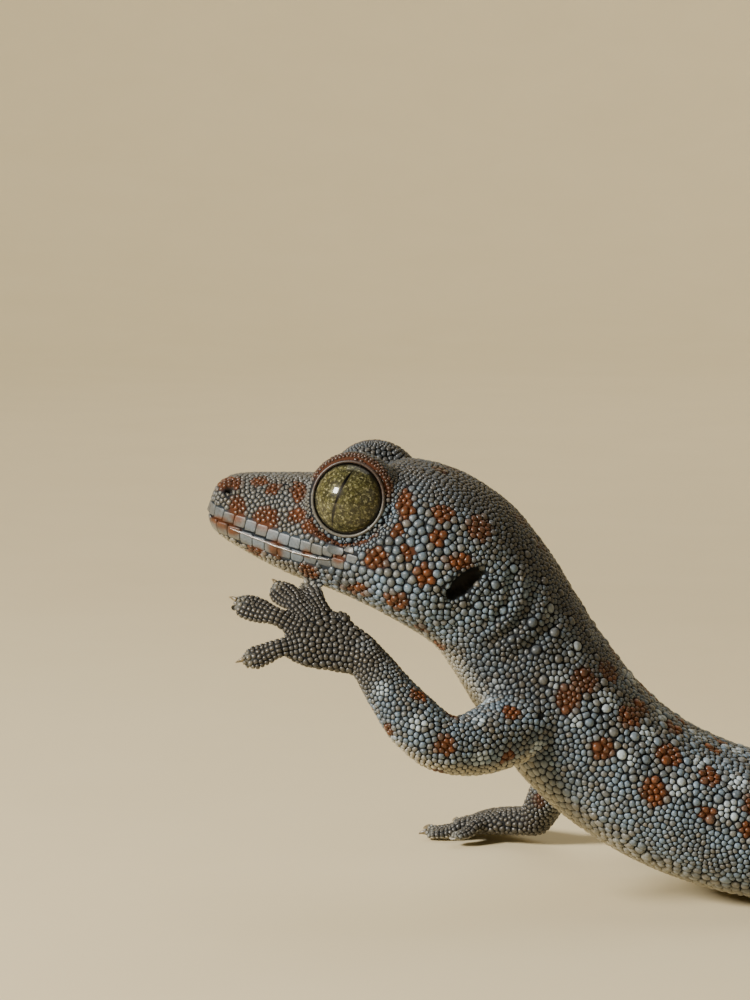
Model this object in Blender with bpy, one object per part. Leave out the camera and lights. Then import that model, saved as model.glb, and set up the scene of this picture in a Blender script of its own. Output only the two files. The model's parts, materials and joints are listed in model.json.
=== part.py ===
"""A tokay gecko at life size, standing still: forebody and head raised, left forefoot lifted.

Lengths are in millimetres and angles in degrees. Each mesh is scaled to metres once, when it is made.
The gecko faces -X, its left side is towards -Y, and it rests on the plane z = 0.
The spine is one curve from the snout (0) to the tip of the tail, given by its fall and its heading.
Head, neck, torso and tail are lengths of one sweep along it; limbs, hands and feet are sweeps of their own.
"""

import math

import bmesh
import bpy
import numpy as np
from mathutils import Matrix, Vector

MM = 0.001
GAP = 0.3
SINK = 0.4

# Driving sizes
HEAD_LENGTH = 44.0
HEAD_HALF_WIDTH = 16.8
HEAD_RISE = 13.6
HEAD_DROP = 11.6
BODY_HALF_WIDTH = 17.6
BODY_HALF_DEPTH = 11.4
SNOUT_TO_VENT = 157.0
TAIL_LENGTH = 135.0
TAIL_BASE_RADIUS = 7.6
TAIL_TIP_RADIUS = 0.9
EYE_RADIUS = 6.5
EYE_OPENING = 5.7
EYE_BACK = 0.62
LID_THICKNESS = 1.4

# Where one node ends and the next begins, along the spine
HEAD_END = 48.5
NECK_END = 60.0
TORSO_END = SNOUT_TO_VENT
TAIL_CUTS = (202.0, 247.0)
SPINE_LENGTH = SNOUT_TO_VENT + TAIL_LENGTH

# Along the spine: how steeply it falls towards the tail, and its heading towards +Y
PITCH = [
    (0, 10.8), (30, 12), (38, 27), (46, 43), (54, 52), (66, 54),
    (77, 43), (92, 25), (108, 10), (122, 2), (134, 0),
]
HEADING = [
    (0, 0), (38, 0), (60, 5), (95, 9), (130, 3), (157, -8),
    (182, -24), (210, -16), (240, 16), (268, 44), (292, 62),
]

# Section at shares of the head's length: shares of its half width, rise and drop
HEAD_SHAPE = [
    (0.000, 0.12, 0.13, 0.11),
    (0.020, 0.20, 0.29, 0.20),
    (0.045, 0.285, 0.38, 0.29),
    (0.090, 0.365, 0.475, 0.375),
    (0.160, 0.435, 0.555, 0.46),
    (0.270, 0.56, 0.655, 0.57),
    (0.370, 0.65, 0.71, 0.64),
    (0.480, 0.76, 0.78, 0.67),
    (0.590, 0.87, 0.95, 0.72),
    (0.700, 0.96, 1.09, 0.80),
    (0.820, 1.00, 1.10, 0.87),
    (0.930, 0.975, 1.08, 0.88),
]
# Section at places along the spine behind the head: shares of the body's half width, rise and drop
BODY_SHAPE = [
    (47, 0.83, 1.18, 0.88),
    (54, 0.77, 1.08, 0.93),
    (62, 0.80, 1.02, 1.00),
    (72, 0.90, 1.02, 1.04),
    (88, 0.97, 1.00, 1.00),
    (106, 1.00, 0.97, 0.97),
    (124, 0.93, 0.93, 0.92),
    (138, 0.76, 0.86, 0.84),
    (148, 0.60, 0.77, 0.76),
]

# Head features, in the head's own frame: back from the snout, out to the side, up
EYE_CENTRE = (24.7, 8.8, 7.5)
EYE_AXIS = (-0.17, 0.96, 0.14)
EAR_CENTRE = (44.9, 15.2, -0.7)
EAR_SIZE = (3.9, 1.5, 3.2)
EAR_TILT = 50.0
NOSTRIL_CENTRE = (3.9, 4.6, 4.2)
NOSTRIL_SIZE = (0.8, 0.6, 1.3)
MOUTH_LINE = [(-0.4, -0.7), (1.3, -0.8), (8.3, -1.3), (17.4, -1.9), (22.4, -1.6), (25.6, -0.5), (27.4, 1.1)]
MOUTH_WIDTH = 0.45
MOUTH_DEPTH = 1.1
# Soft hollows of the head: centre, spread, depth and the way it is pressed, first on both sides, then midway
SIDE_HOLLOWS = [
    ((13.5, 10.0, 4.0), 2.8, 0.7, (0, -1, 0)),
    ((36.0, 9.0, 10.0), 3.6, 0.8, (0, 0.6, 0.8)),
    ((38.0, 16.0, -3.5), 4.5, 0.8, (0, 1, -0.2)),
    ((34.0, 15.0, 6.0), 3.0, 0.7, (0, -1, 0)),
]
MIDDLE_HOLLOWS = [
    ((12.0, 0, 8.0), 3.0, 0.6, (0, 0, -1)),
    ((22.5, 0, 11.5), 4.0, 1.3, (0, 0, -1)),
]
# The swelling that holds a nostril: centre and radius
NOSTRIL_SWELLING = ((3.9, 2.8, 3.2), 2.9)

# Limbs: the shoulder and hip are along, to the side of and above the spine. The left elbow and wrist are
# measured from the snout, the others from the floor below it.
SHOULDER = (66.0, 9.5, -4.0)
HIP = (143.0, 6.5, -1.0)
LEFT_ELBOW = (41.6, -22.0, -34.8)
LEFT_WRIST = (28.8, -18.0, -20.3)
LEFT_HAND_FORWARD = (-0.944, 0.0, 0.33)
LEFT_HAND_BACK = (0.2, -0.82, 0.57)
RIGHT_ELBOW = (57.0, 29.5, 21.0)
RIGHT_WRIST = (48.5, 36.0, 4.2)
RIGHT_HAND_FORWARD = (-0.90, 0.42, -0.14)
LEFT_KNEE = (109.0, -26.0, 13.0)
LEFT_ANKLE = (126.5, -35.5, 4.2)
LEFT_FOOT_FORWARD = (-0.62, -0.78, -0.14)
RIGHT_KNEE = (118.0, 38.0, 13.0)
RIGHT_ANKLE = (137.0, 44.0, 4.2)
RIGHT_FOOT_FORWARD = (-0.78, 0.62, -0.14)
HEEL = 0.5
# How far an elbow or knee is rounded, in mm and as a share of each of its two lengths
BEND_ROUND = 1.6
BEND_SPREAD = 0.26
# The rings of a limb stay this far from its bend, where they would cross
BEND_CLEAR = 3.6
LIMB_SIDES = 12
ROUND = (2.0, 2.0)

# Share of the limb's length, half width and half depth
ARM_RADII = [
    (0.0, 7.0, 6.0), (0.25, 5.6, 5.4), (0.48, 4.6, 4.6),
    (0.62, 4.7, 4.6), (0.8, 4.1, 3.8), (1.0, 3.3, 2.7),
]
LEG_RADII = [
    (0.0, 8.6, 7.2), (0.22, 7.2, 6.4), (0.5, 5.2, 5.2),
    (0.64, 5.3, 5.0), (0.82, 4.3, 3.8), (1.0, 3.4, 2.8),
]

# Toes: root along and across the palm, angle, length, pad half width, dip of root and of pad
LIFTED_TOES = [
    (6.0, -3.8, -70, 7.5, 2.0, 60, 70),
    (9.0, -4.0, -46, 9.5, 2.35, 26, 44),
    (10.4, -1.9, -36, 10.5, 2.45, 14, 26),
    (11.4, -0.2, -7, 11.5, 2.4, 2, 12),
    (10.6, 2.3, 36, 9.0, 2.1, 4, 16),
]
HAND_TOES = [
    (8.0, -3.2, -62, 7.5, 1.8, 8, 2),
    (9.6, -2.4, -28, 10.0, 2.0, 6, 2),
    (10.4, -0.6, -2, 11.5, 2.1, 6, 2),
    (10.2, 1.4, 24, 12.0, 2.15, 6, 2),
    (8.6, 2.9, 58, 9.5, 2.0, 8, 2),
]
FOOT_TOES = [
    (9.0, -3.4, -52, 9.0, 1.9, 8, 2),
    (10.8, -2.4, -26, 12.0, 2.1, 6, 2),
    (11.6, -0.6, -2, 14.0, 2.2, 5, 2),
    (11.4, 1.4, 24, 15.0, 2.25, 5, 2),
    (9.2, 3.0, 72, 12.0, 2.1, 6, 2),
]
# Palm: length, half width, half width and half depth of its root, half depth
HAND_PALM = (13.0, 5.3, 3.1, 2.5, 2.2)
FOOT_PALM = (14.5, 5.6, 3.2, 2.6, 2.3)
CLAW_LENGTH = 2.1
# Share of the claw's length, and its radius there: a round sheath, then the claw
CLAW_RADII = [(0.0, 0.7), (0.3, 0.85), (0.6, 0.62), (1.0, 0.2)]

# The knobs among the small scales of back and tail: their inset as a share of a face's side, their height
TUBERCLE_INSET = 0.29
TUBERCLE_HEIGHT = 0.5


def smooth_through(rows):
    """A smooth function through rows of (place, value, ...), with no overshoot between them."""
    place = np.array([row[0] for row in rows], float)
    value = np.array([row[1:] for row in rows], float)
    secant = np.diff(value, axis=0) / np.diff(place)[:, None]
    product = secant[1:] * secant[:-1]
    inner = np.where(product > 0, 2 * product / (secant[1:] + secant[:-1] + 1e-12), 0)
    slope = np.vstack([secant[:1], inner, secant[-1:]])

    def at(where):
        where = min(max(where, place[0]), place[-1])
        i = int(min(np.searchsorted(place, where, side="right") - 1, len(place) - 2))
        step = place[i + 1] - place[i]
        t = (where - place[i]) / step
        low = (1 + 2 * t) * (1 - t) ** 2 * value[i] + t * (1 - t) ** 2 * step * slope[i]
        high = t * t * (3 - 2 * t) * value[i + 1] + t * t * (t - 1) * step * slope[i + 1]
        return low + high

    return at


def section_rows():
    """Half width, rise and drop along the whole spine, in millimetres."""
    rows = [
        (share * HEAD_LENGTH, width * HEAD_HALF_WIDTH, rise * HEAD_RISE, drop * HEAD_DROP)
        for share, width, rise, drop in HEAD_SHAPE
    ]
    rows += [
        (place, width * BODY_HALF_WIDTH, rise * BODY_HALF_DEPTH, drop * BODY_HALF_DEPTH)
        for place, width, rise, drop in BODY_SHAPE
    ]
    for share in (0.0, 0.06, 0.14, 0.3, 0.5, 0.7, 0.88, 1.0):
        swell = 1 + 0.06 * math.sin(min(share / 0.12, 1) * math.pi)
        radius = TAIL_TIP_RADIUS + (TAIL_BASE_RADIUS - TAIL_TIP_RADIUS) * (1 - share) ** 0.9
        rows.append((SNOUT_TO_VENT + share * TAIL_LENGTH, radius * swell, radius * 0.9, radius * 0.86))
    return rows


SECTION = smooth_through(section_rows())


class Spine:
    """The animal's centre line, and the directions back, left and up at each place along it."""

    STEP = 0.5

    def __init__(self):
        pitch, heading = smooth_through(PITCH), smooth_through(HEADING)
        self.places = np.arange(0, SPINE_LENGTH + 2 * self.STEP, self.STEP)
        points = [np.zeros(3)]
        for place in self.places[:-1] + self.STEP / 2:
            fall, turn = math.radians(pitch(place)[0]), math.radians(heading(place)[0])
            level = math.cos(fall)
            back = np.array([math.cos(turn) * level, math.sin(turn) * level, -math.sin(fall)])
            points.append(points[-1] + back * self.STEP)
        points = np.array(points)
        resting = np.array([SECTION(place)[2] for place in self.places]) - SINK
        belly = int(PITCH[-1][0] / self.STEP)
        points[:, 2] += resting[belly] - points[belly, 2]
        soft = 0.4
        points[:, 2] = resting + soft * np.logaddexp(0, (points[:, 2] - resting) / soft)
        points[belly:, 2] = resting[belly:]
        self.points = points
        self.directions = np.gradient(points, axis=0)

    def frame(self, place):
        point = Vector([np.interp(place, self.places, self.points[:, i]) for i in range(3)])
        back = Vector([np.interp(place, self.places, self.directions[:, i]) for i in range(3)]).normalized()
        left = Vector((back.y, -back.x, 0)).normalized()
        return point, back, left, left.cross(back)


SPINE = Spine()


def ring(centre, side, up, width, rise, drop, count, square=(2.2, 2.3)):
    """A closed section: an oval, squarer as its two exponents grow, for its upper and its lower half."""
    points = []
    for k in range(count):
        angle = 2 * math.pi * k / count
        across, along = math.cos(angle), math.sin(angle)
        power = 2 / (square[0] if along > 0 else square[1])
        height = rise if along > 0 else drop
        out = width * math.copysign(abs(across) ** power, across)
        lift = height * math.copysign(abs(along) ** power, along)
        points.append(centre + side * out + up * lift)
    return points


def skin_rings(rings, first_pole=None, last_pole=None):
    """A closed mesh over rings of points, in millimetres. An end is a flat face, or closes on a pole."""
    bm = bmesh.new()
    edges = []
    for points in rings:
        verts = bmesh.ops.create_circle(bm, segments=len(points), radius=1.0)["verts"]
        for vert, point in zip(verts, points):
            vert.co = point
        edges.append(list({edge for vert in verts for edge in vert.link_edges}))
    for near, far in zip(edges, edges[1:]):
        bmesh.ops.bridge_loops(bm, edges=near + far)
    for end, pole in ((edges[0], first_pole), (edges[-1], last_pole)):
        if pole is None:
            bmesh.ops.edgeloop_fill(bm, edges=end)
            continue
        grown = bmesh.ops.extrude_edge_only(bm, edges=end)["geom"]
        tip = [each for each in grown if isinstance(each, bmesh.types.BMVert)]
        bmesh.ops.pointmerge(bm, verts=tip, merge_co=pole)
    bmesh.ops.recalc_face_normals(bm, faces=bm.faces)
    return bm


def as_object(bm, name):
    """Turns a bmesh in millimetres into an object in metres, in the scene."""
    bmesh.ops.scale(bm, vec=(MM, MM, MM), verts=bm.verts)
    mesh = bpy.data.meshes.new(name)
    bm.to_mesh(mesh)
    bm.free()
    made = bpy.data.objects.new(name, mesh)
    bpy.context.scene.collection.objects.link(made)
    return made


def remove(objects):
    for each in objects:
        mesh = each.data
        bpy.data.objects.remove(each)
        bpy.data.meshes.remove(mesh)


def boolean(target, others, operation, solver="EXACT"):
    """Joins others to target, or cuts them from it, for good, and removes them."""
    group = bpy.data.collections.new("tools")
    bpy.context.scene.collection.children.link(group)
    for each in others:
        bpy.context.scene.collection.objects.unlink(each)
        group.objects.link(each)
    modifier = target.modifiers.new("boolean", "BOOLEAN")
    modifier.operand_type = "COLLECTION"
    modifier.collection = group
    modifier.operation = operation
    modifier.solver = solver
    graph = bpy.context.evaluated_depsgraph_get()
    made = bpy.data.meshes.new_from_object(target.evaluated_get(graph))
    target.modifiers.remove(modifier)
    old = target.data
    target.data = made
    bpy.data.meshes.remove(old)
    remove(others)
    bpy.data.collections.remove(group)
    return target


def volume_of(shell):
    return abs(sum(f.calc_center_median().dot(f.normal) * f.calc_area() for f in shell))


def keep_largest(target):
    """Leaves only the closed surface with the most volume."""
    bm = bmesh.new()
    bm.from_mesh(target.data)
    left, shells = set(bm.faces), []
    while left:
        shell, edge_of = set(), [left.pop()]
        while edge_of:
            face = edge_of.pop()
            shell.add(face)
            for edge in face.edges:
                for other in edge.link_faces:
                    if other in left:
                        left.discard(other)
                        edge_of.append(other)
        shells.append(shell)
    best = max(shells, key=volume_of)
    bmesh.ops.delete(bm, geom=[f for f in bm.faces if f not in best], context="FACES")
    bm.to_mesh(target.data)
    bm.free()
    return target


def half_space(point, direction, size=60):
    """A block that fills the space from just short of point on, in one direction."""
    bm = bmesh.new()
    bmesh.ops.create_cube(bm, size=size)
    bmesh.ops.translate(bm, vec=(0, 0, size / 2 - GAP / 2), verts=bm.verts)
    bmesh.ops.transform(bm, matrix=Matrix.Translation(point) @ turned_to(direction), verts=bm.verts)
    return as_object(bm, "block")


def rest_on_floor(target):
    """Cuts away what was pressed below the floor, which leaves a small flat at z = 0."""
    bm = bmesh.new()
    bmesh.ops.create_cube(bm, size=1.0)
    bmesh.ops.scale(bm, vec=(800, 800, 20), verts=bm.verts)
    bmesh.ops.translate(bm, vec=(150, 0, -10), verts=bm.verts)
    boolean(target, [as_object(bm, "floor")], "DIFFERENCE")
    return keep_largest(target)


def body_rings(start, end, spacing, count, grow=0.0):
    """Sections of the body from start to end along the spine."""
    rings = []
    for place in np.linspace(start, end, max(2, round((end - start) / spacing) + 1)):
        centre, _, left, up = SPINE.frame(place)
        width, rise, drop = SECTION(place)
        rings.append(ring(centre, left, up, width + grow, rise + grow, drop + grow, count))
    return rings


def head_point(back, side, up):
    """A point given in the head's own frame: back from the snout, out to the left, up."""
    snout, tailward, left, upward = SPINE.frame(1.0)
    return snout + tailward * (back - 1.0) + left * side + upward * up


def head_direction(back, side, up):
    _, tailward, left, upward = SPINE.frame(1.0)
    return (tailward * back + left * side + upward * up).normalized()


def bulge(points, centre, radius, softness=6):
    """Pushes points out so that they clear a ball round centre, with a smooth change at its edge."""
    for point in points:
        offset = point - centre
        distance = offset.length
        reach = (distance**softness + radius**softness) ** (1 / softness)
        point += offset.normalized() * (reach - distance)


def dent(points, centre, spread, depth, direction):
    """Presses points near centre along direction, or raises them where depth is negative."""
    for point in points:
        share = math.exp(-((point - centre).length_squared) / (2 * spread * spread))
        point += direction * depth * share


def turned_to(axis, spin=0.0):
    """The rotation that carries +Z to axis, after a turn about +Z."""
    return axis.to_track_quat("Z", "Y").to_matrix().to_4x4() @ Matrix.Rotation(math.radians(spin), 4, "Z")


def eye_ball(centre, axis, radius, segments, rings):
    """A ball about an eye with its poles on the eye's axis, flatter on the side within the head."""
    bm = bmesh.new()
    bmesh.ops.create_uvsphere(bm, u_segments=segments, v_segments=rings, radius=radius)
    for vert in bm.verts:
        if vert.co.z < 0:
            vert.co.z *= EYE_BACK
    bmesh.ops.transform(bm, matrix=Matrix.Translation(centre) @ turned_to(axis), verts=bm.verts)
    return bm


def lid_ring(centre, axis):
    """The raised rim of skin round an eye: a small circle turned about the eye's axis."""
    bm = bmesh.new()
    around, across = 24, 6
    rim, thick = EYE_OPENING + 0.5, 0.65
    height = math.sqrt((EYE_RADIUS + LID_THICKNESS) ** 2 - rim**2) - 0.25
    bmesh.ops.create_circle(bm, segments=across, radius=thick)
    upright = Matrix.Translation((rim, 0, height)) @ Matrix.Rotation(math.radians(90), 4, "X")
    bmesh.ops.transform(bm, matrix=upright, verts=bm.verts)
    bmesh.ops.spin(
        bm, geom=bm.verts[:] + bm.edges[:], cent=(0, 0, 0), axis=(0, 0, 1),
        angle=2 * math.pi, steps=around, use_merge=True,
    )
    bmesh.ops.recalc_face_normals(bm, faces=bm.faces)
    bmesh.ops.transform(bm, matrix=Matrix.Translation(centre) @ turned_to(axis), verts=bm.verts)
    return bm


def eye_opening(centre, axis):
    """The cylinder that opens the lids over the eyeball."""
    bm = bmesh.new()
    depth = EYE_RADIUS * 2
    bmesh.ops.create_cone(
        bm, cap_ends=True, segments=24, radius1=EYE_OPENING, radius2=EYE_OPENING, depth=depth
    )
    bmesh.ops.translate(bm, vec=(0, 0, depth / 2 + 1.5), verts=bm.verts)
    bmesh.ops.transform(bm, matrix=Matrix.Translation(centre) @ turned_to(axis), verts=bm.verts)
    return bm


def pit(centre, axis, size, tilt):
    """An oval cutter for an ear or a nostril: its long axis is tilted back and up from the head's line."""
    bm = bmesh.new()
    bmesh.ops.create_uvsphere(bm, u_segments=12, v_segments=8, radius=1.0)
    bmesh.ops.scale(bm, vec=size, verts=bm.verts)
    tailward = head_direction(1, 0, 0)
    along = (tailward - axis * tailward.dot(axis)).normalized()
    up = axis.cross(along)
    if up.z < 0:
        up = -up
    slant = math.radians(tilt)
    long_axis = along * math.cos(slant) + up * math.sin(slant)
    matrix = Matrix((long_axis, axis.cross(long_axis), axis)).transposed().to_4x4()
    bmesh.ops.transform(bm, matrix=Matrix.Translation(centre) @ matrix, verts=bm.verts)
    bmesh.ops.recalc_face_normals(bm, faces=bm.faces)
    return bm


def mouth_cutter():
    """A thin band that follows the lips from one corner of the mouth round the snout to the other."""
    level = smooth_through(MOUTH_LINE)
    places = [MOUTH_LINE[-1][0], 25.6, 22.6, 19.0, 15.0, 11.0, 7.5, 5.0, 3.2, 2.0, 1.1, 0.4]
    half = []
    for back in places:
        width, _, drop = SECTION(back)
        up = level(back)[0]
        half.append((back, width * (1 - min(0.98, abs(up) / drop) ** 2.3) ** (1 / 2.3), up))
    line = [Vector(p) for p in half] + [Vector((-0.35, 0, level(0)[0]))]
    line += [Vector((b, -s, u)) for b, s, u in reversed(half)]
    rings = []
    for i, point in enumerate(line):
        along = line[min(i + 1, len(line) - 1)] - line[max(i - 1, 0)]
        outward = Vector((-along.y, along.x, 0)).normalized()
        if outward.dot(Vector((point.x - HEAD_LENGTH / 3, point.y, 0))) < 0:
            outward = -outward
        depth = MOUTH_DEPTH * (0.45 if i in (0, len(line) - 1) else 1)
        inner, outer = point - outward * depth, point + outward * 2.0
        half_gap = Vector((0, 0, MOUTH_WIDTH / 2))
        corners = (inner + half_gap, outer + half_gap * 2, outer - half_gap * 2, inner - half_gap)
        rings.append([head_point(*corner) for corner in corners])
    return skin_rings(rings)


def mirrored(triple, side):
    return triple[0], triple[1] * side, triple[2]


def make_head():
    """The head with its lids, mouth line, nostrils and ears, and the two eyeballs."""
    rings = body_rings(0.0, HEAD_END, 1.45, 32)
    points = [point for each in rings for point in each]
    pole = head_point(-0.7, 0, 0.2)
    for side in (1, -1):
        eye = head_point(*mirrored(EYE_CENTRE, side))
        bulge(points, eye, EYE_RADIUS)
        swelling, radius = NOSTRIL_SWELLING
        bulge(points, head_point(*mirrored(swelling, side)), radius)
        for centre, spread, depth, way in SIDE_HOLLOWS:
            direction = head_direction(*mirrored(way, side))
            dent(points, head_point(*mirrored(centre, side)), spread, depth, direction)
    for centre, spread, depth, way in MIDDLE_HOLLOWS:
        dent(points, head_point(*centre), spread, depth, head_direction(*way))
    head = as_object(skin_rings(rings, first_pole=pole), "head")

    joined, cut, eyes = [], [], []
    for side, name in ((1, "left"), (-1, "right")):
        eye = head_point(*mirrored(EYE_CENTRE, side))
        axis = head_direction(*mirrored(EYE_AXIS, side))
        outward = head_direction(0, side, 0)
        joined.append(as_object(eye_ball(eye, axis, EYE_RADIUS + LID_THICKNESS, 22, 14), "lid"))
        joined.append(as_object(lid_ring(eye, axis), "rim"))
        cut.append(as_object(eye_ball(eye, axis, EYE_RADIUS + GAP, 24, 14), "socket"))
        cut.append(as_object(eye_opening(eye, axis), "opening"))
        ear = head_point(*mirrored(EAR_CENTRE, side))
        cut.append(as_object(pit(ear, outward, EAR_SIZE, EAR_TILT), "ear"))
        snout_side = head_direction(-0.45, side, 0.15)
        nostril = head_point(*mirrored(NOSTRIL_CENTRE, side))
        cut.append(as_object(pit(nostril, snout_side, NOSTRIL_SIZE, 20), "nostril"))
        eyes.append(as_object(eye_ball(eye, axis, EYE_RADIUS, 22, 14), "eye_" + name))
    boolean(head, joined, "UNION")
    boolean(head, cut + [as_object(mouth_cutter(), "mouth")], "DIFFERENCE")
    keep_largest(head)
    return [head, *eyes]


def raise_tubercles(bm, chosen):
    """Raises a low blunt knob on each chosen face, inside its own edges."""
    for face in chosen:
        shortest = min(edge.calc_length() for edge in face.edges)
        inset = shortest * TUBERCLE_INSET
        bmesh.ops.inset_individual(
            bm, faces=[face], thickness=inset, depth=TUBERCLE_HEIGHT, use_even_offset=True
        )


def body_length(name, start, end, spacing, count, knobs=None, tip=False):
    """One length of the body or tail. knobs(row, column, angle, rows) tells which faces carry a knob."""
    rings = body_rings(start, end, spacing, count)
    pole = None
    if tip:
        centre, back, _, _ = SPINE.frame(end)
        pole = centre + back * TAIL_TIP_RADIUS
    bm = skin_rings(rings, last_pole=pole)
    if knobs:
        rows = len(rings) - 1
        chosen = []
        for face in bm.faces:
            row = faces_row(face, start, end, rows)
            centre, _, left, up = SPINE.frame(start + (row + 0.5) * (end - start) / rows)
            offset = face.calc_center_median() - centre
            angle = math.degrees(math.atan2(offset.dot(up), offset.dot(left))) % 360
            if len(face.verts) == 4 and knobs(row, int(angle * count / 360), angle, rows):
                chosen.append(face)
        raise_tubercles(bm, chosen)
    return as_object(bm, name)


def faces_row(face, start, end, rows):
    """Which band of a length of the body a face is in, counted from the head."""
    middle = face.calc_center_median()
    away = []
    for row in range(rows):
        centre, back, _, _ = SPINE.frame(start + (row + 0.5) * (end - start) / rows)
        offset = middle - centre
        away.append(abs(offset.dot(back)) + offset.length / 50)
    return away.index(min(away))


def torso_knobs(row, column, angle, rows):
    """Staggered rows over the back and flanks, clear of the shoulders and the hips."""
    by_limb = row < 6 or row > rows - 10
    lowest = 52 if by_limb else 20
    above = lowest < angle < 180 - lowest
    return 1 < row < rows - 2 and above and row % 2 == 0 and (row // 2 + column) % 2 == 0


def tail_knobs(row, column, angle, rows):
    """One ring of knobs for every third band, on the upper side."""
    return 0 < row < rows - 1 and 20 < angle < 160 and row % 3 == 1 and column % 2 == 0


def make_body():
    made = [
        body_length("neck", HEAD_END + GAP, NECK_END, 2.4, 28),
        body_length("torso", NECK_END + GAP, TORSO_END, 3.1, 28, torso_knobs),
        body_length("tail_base", TORSO_END + GAP, TAIL_CUTS[0], 3.2, 20, tail_knobs),
        body_length("tail_middle", TAIL_CUTS[0] + GAP, TAIL_CUTS[1], 3.2, 16, tail_knobs),
        body_length("tail_tip", TAIL_CUTS[1] + GAP, SPINE_LENGTH, 4.0, 12, None, tip=True),
    ]
    for each in made[1:]:
        rest_on_floor(each)
    return made


def path_length(points):
    return sum((b - a).length for a, b in zip(points, points[1:]))


def along_path(points, shares, facing=Vector((0, 0, 1))):
    """(centre, side, up, share) at shares of a smooth curve through points, upper side facing one way."""
    lengths = np.cumsum([0] + [(b - a).length for a, b in zip(points, points[1:])])
    line = smooth_through([(d, *p) for d, p in zip(lengths, points)])
    total = lengths[-1]
    frames = []
    for share in shares:
        here = Vector(line(share * total))
        ahead = Vector(line(min(share * total + 0.3, total)))
        behind = Vector(line(max(share * total - 0.3, 0)))
        forward = (ahead - behind).normalized()
        side = forward.cross(facing).normalized()
        frames.append((here, side, side.cross(forward), share))
    return frames


def limb_length(name, frames, radii, grow=0.0, capped=False):
    """One length of a limb over frames. A capped end is domed, for a wrist or an ankle."""
    rings = []
    for centre, side, up, share in frames:
        wide, deep = (value + grow for value in radii(share))
        rings.append(ring(centre, side, up, wide, deep, deep, LIMB_SIDES, ROUND))
    pole = None
    if capped:
        forward = up.cross(side).normalized()
        for turn in (math.radians(30), math.radians(60)):
            middle, shrink = centre + forward * deep * math.sin(turn), math.cos(turn)
            half, height = wide * shrink, deep * shrink
            rings.append(ring(middle, side, up, half, height, height, LIMB_SIDES, ROUND))
        pole = centre + forward * deep
    return as_object(skin_rings(rings, last_pole=pole), name)


def make_limb(names, points, radii_rows, bend_share):
    """The two lengths of a limb, parted by a plane at elbow or knee, its root cut clear of the torso."""
    radii = smooth_through(radii_rows)
    clear = BEND_CLEAR / path_length(points)
    near = along_path(points, [*np.linspace(0, bend_share - clear, 7), bend_share])
    far = along_path(points, [bend_share, *np.linspace(bend_share + clear, 1, 7)])
    centre, side, up, share = near[-1]
    onward = up.cross(side).normalized()
    near[-1] = (centre + onward, side, up, share)
    far[0] = (centre - onward, side, up, share)
    upper = limb_length(names[0], near, radii)
    lower = limb_length(names[1], far, radii, capped=True)
    torso = as_object(skin_rings(body_rings(NECK_END - 6, TORSO_END + 5, 3.1, 28, GAP)), "torso_clearance")
    boolean(upper, [torso, half_space(centre, onward)], "DIFFERENCE")
    boolean(lower, [half_space(centre, -onward)], "DIFFERENCE")
    keep_largest(upper)
    keep_largest(lower)
    return upper, lower, limb_length("clearance", far, radii, GAP, capped=True)


def digit(points, normal, width):
    """A toe through points: slim at its root, a broad flat pad along its outer half, and a rounded end."""
    shape = smooth_through(
        [
            (0.00, 1.60, 1.25, 1.05),
            (0.30, 1.55, 1.30, 1.00),
            (0.48, 1.70, 1.20, 0.90),
            (0.66, width * 0.94, 1.05, 0.75),
            (0.82, width, 0.90, 0.62),
            (0.94, width * 0.86, 0.70, 0.50),
            (1.00, width * 0.50, 0.36, 0.28),
        ]
    )
    rings = []
    for centre, side, up, share in along_path(points, (0, 0.2, 0.4, 0.55, 0.68, 0.8, 0.91, 1), normal):
        half, rise, drop = shape(share)
        rings.append(ring(centre, side, up, half, rise, drop, 8, (2.0, 2.6)))
    return skin_rings(rings)


def claw(root, direction, normal, length=CLAW_LENGTH):
    """The round sheath at the end of a toe, and the small hooked claw that leaves it."""
    side = direction.cross(normal).normalized()
    rings = []
    for share, radius in CLAW_RADII:
        centre = root + direction * length * share + normal * (0.55 * math.sin(share * 2.2) - 0.25 * share)
        rings.append(ring(centre, side, normal, radius * 0.9, radius, radius, 6, (2.0, 2.0)))
    return skin_rings(rings)


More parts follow.
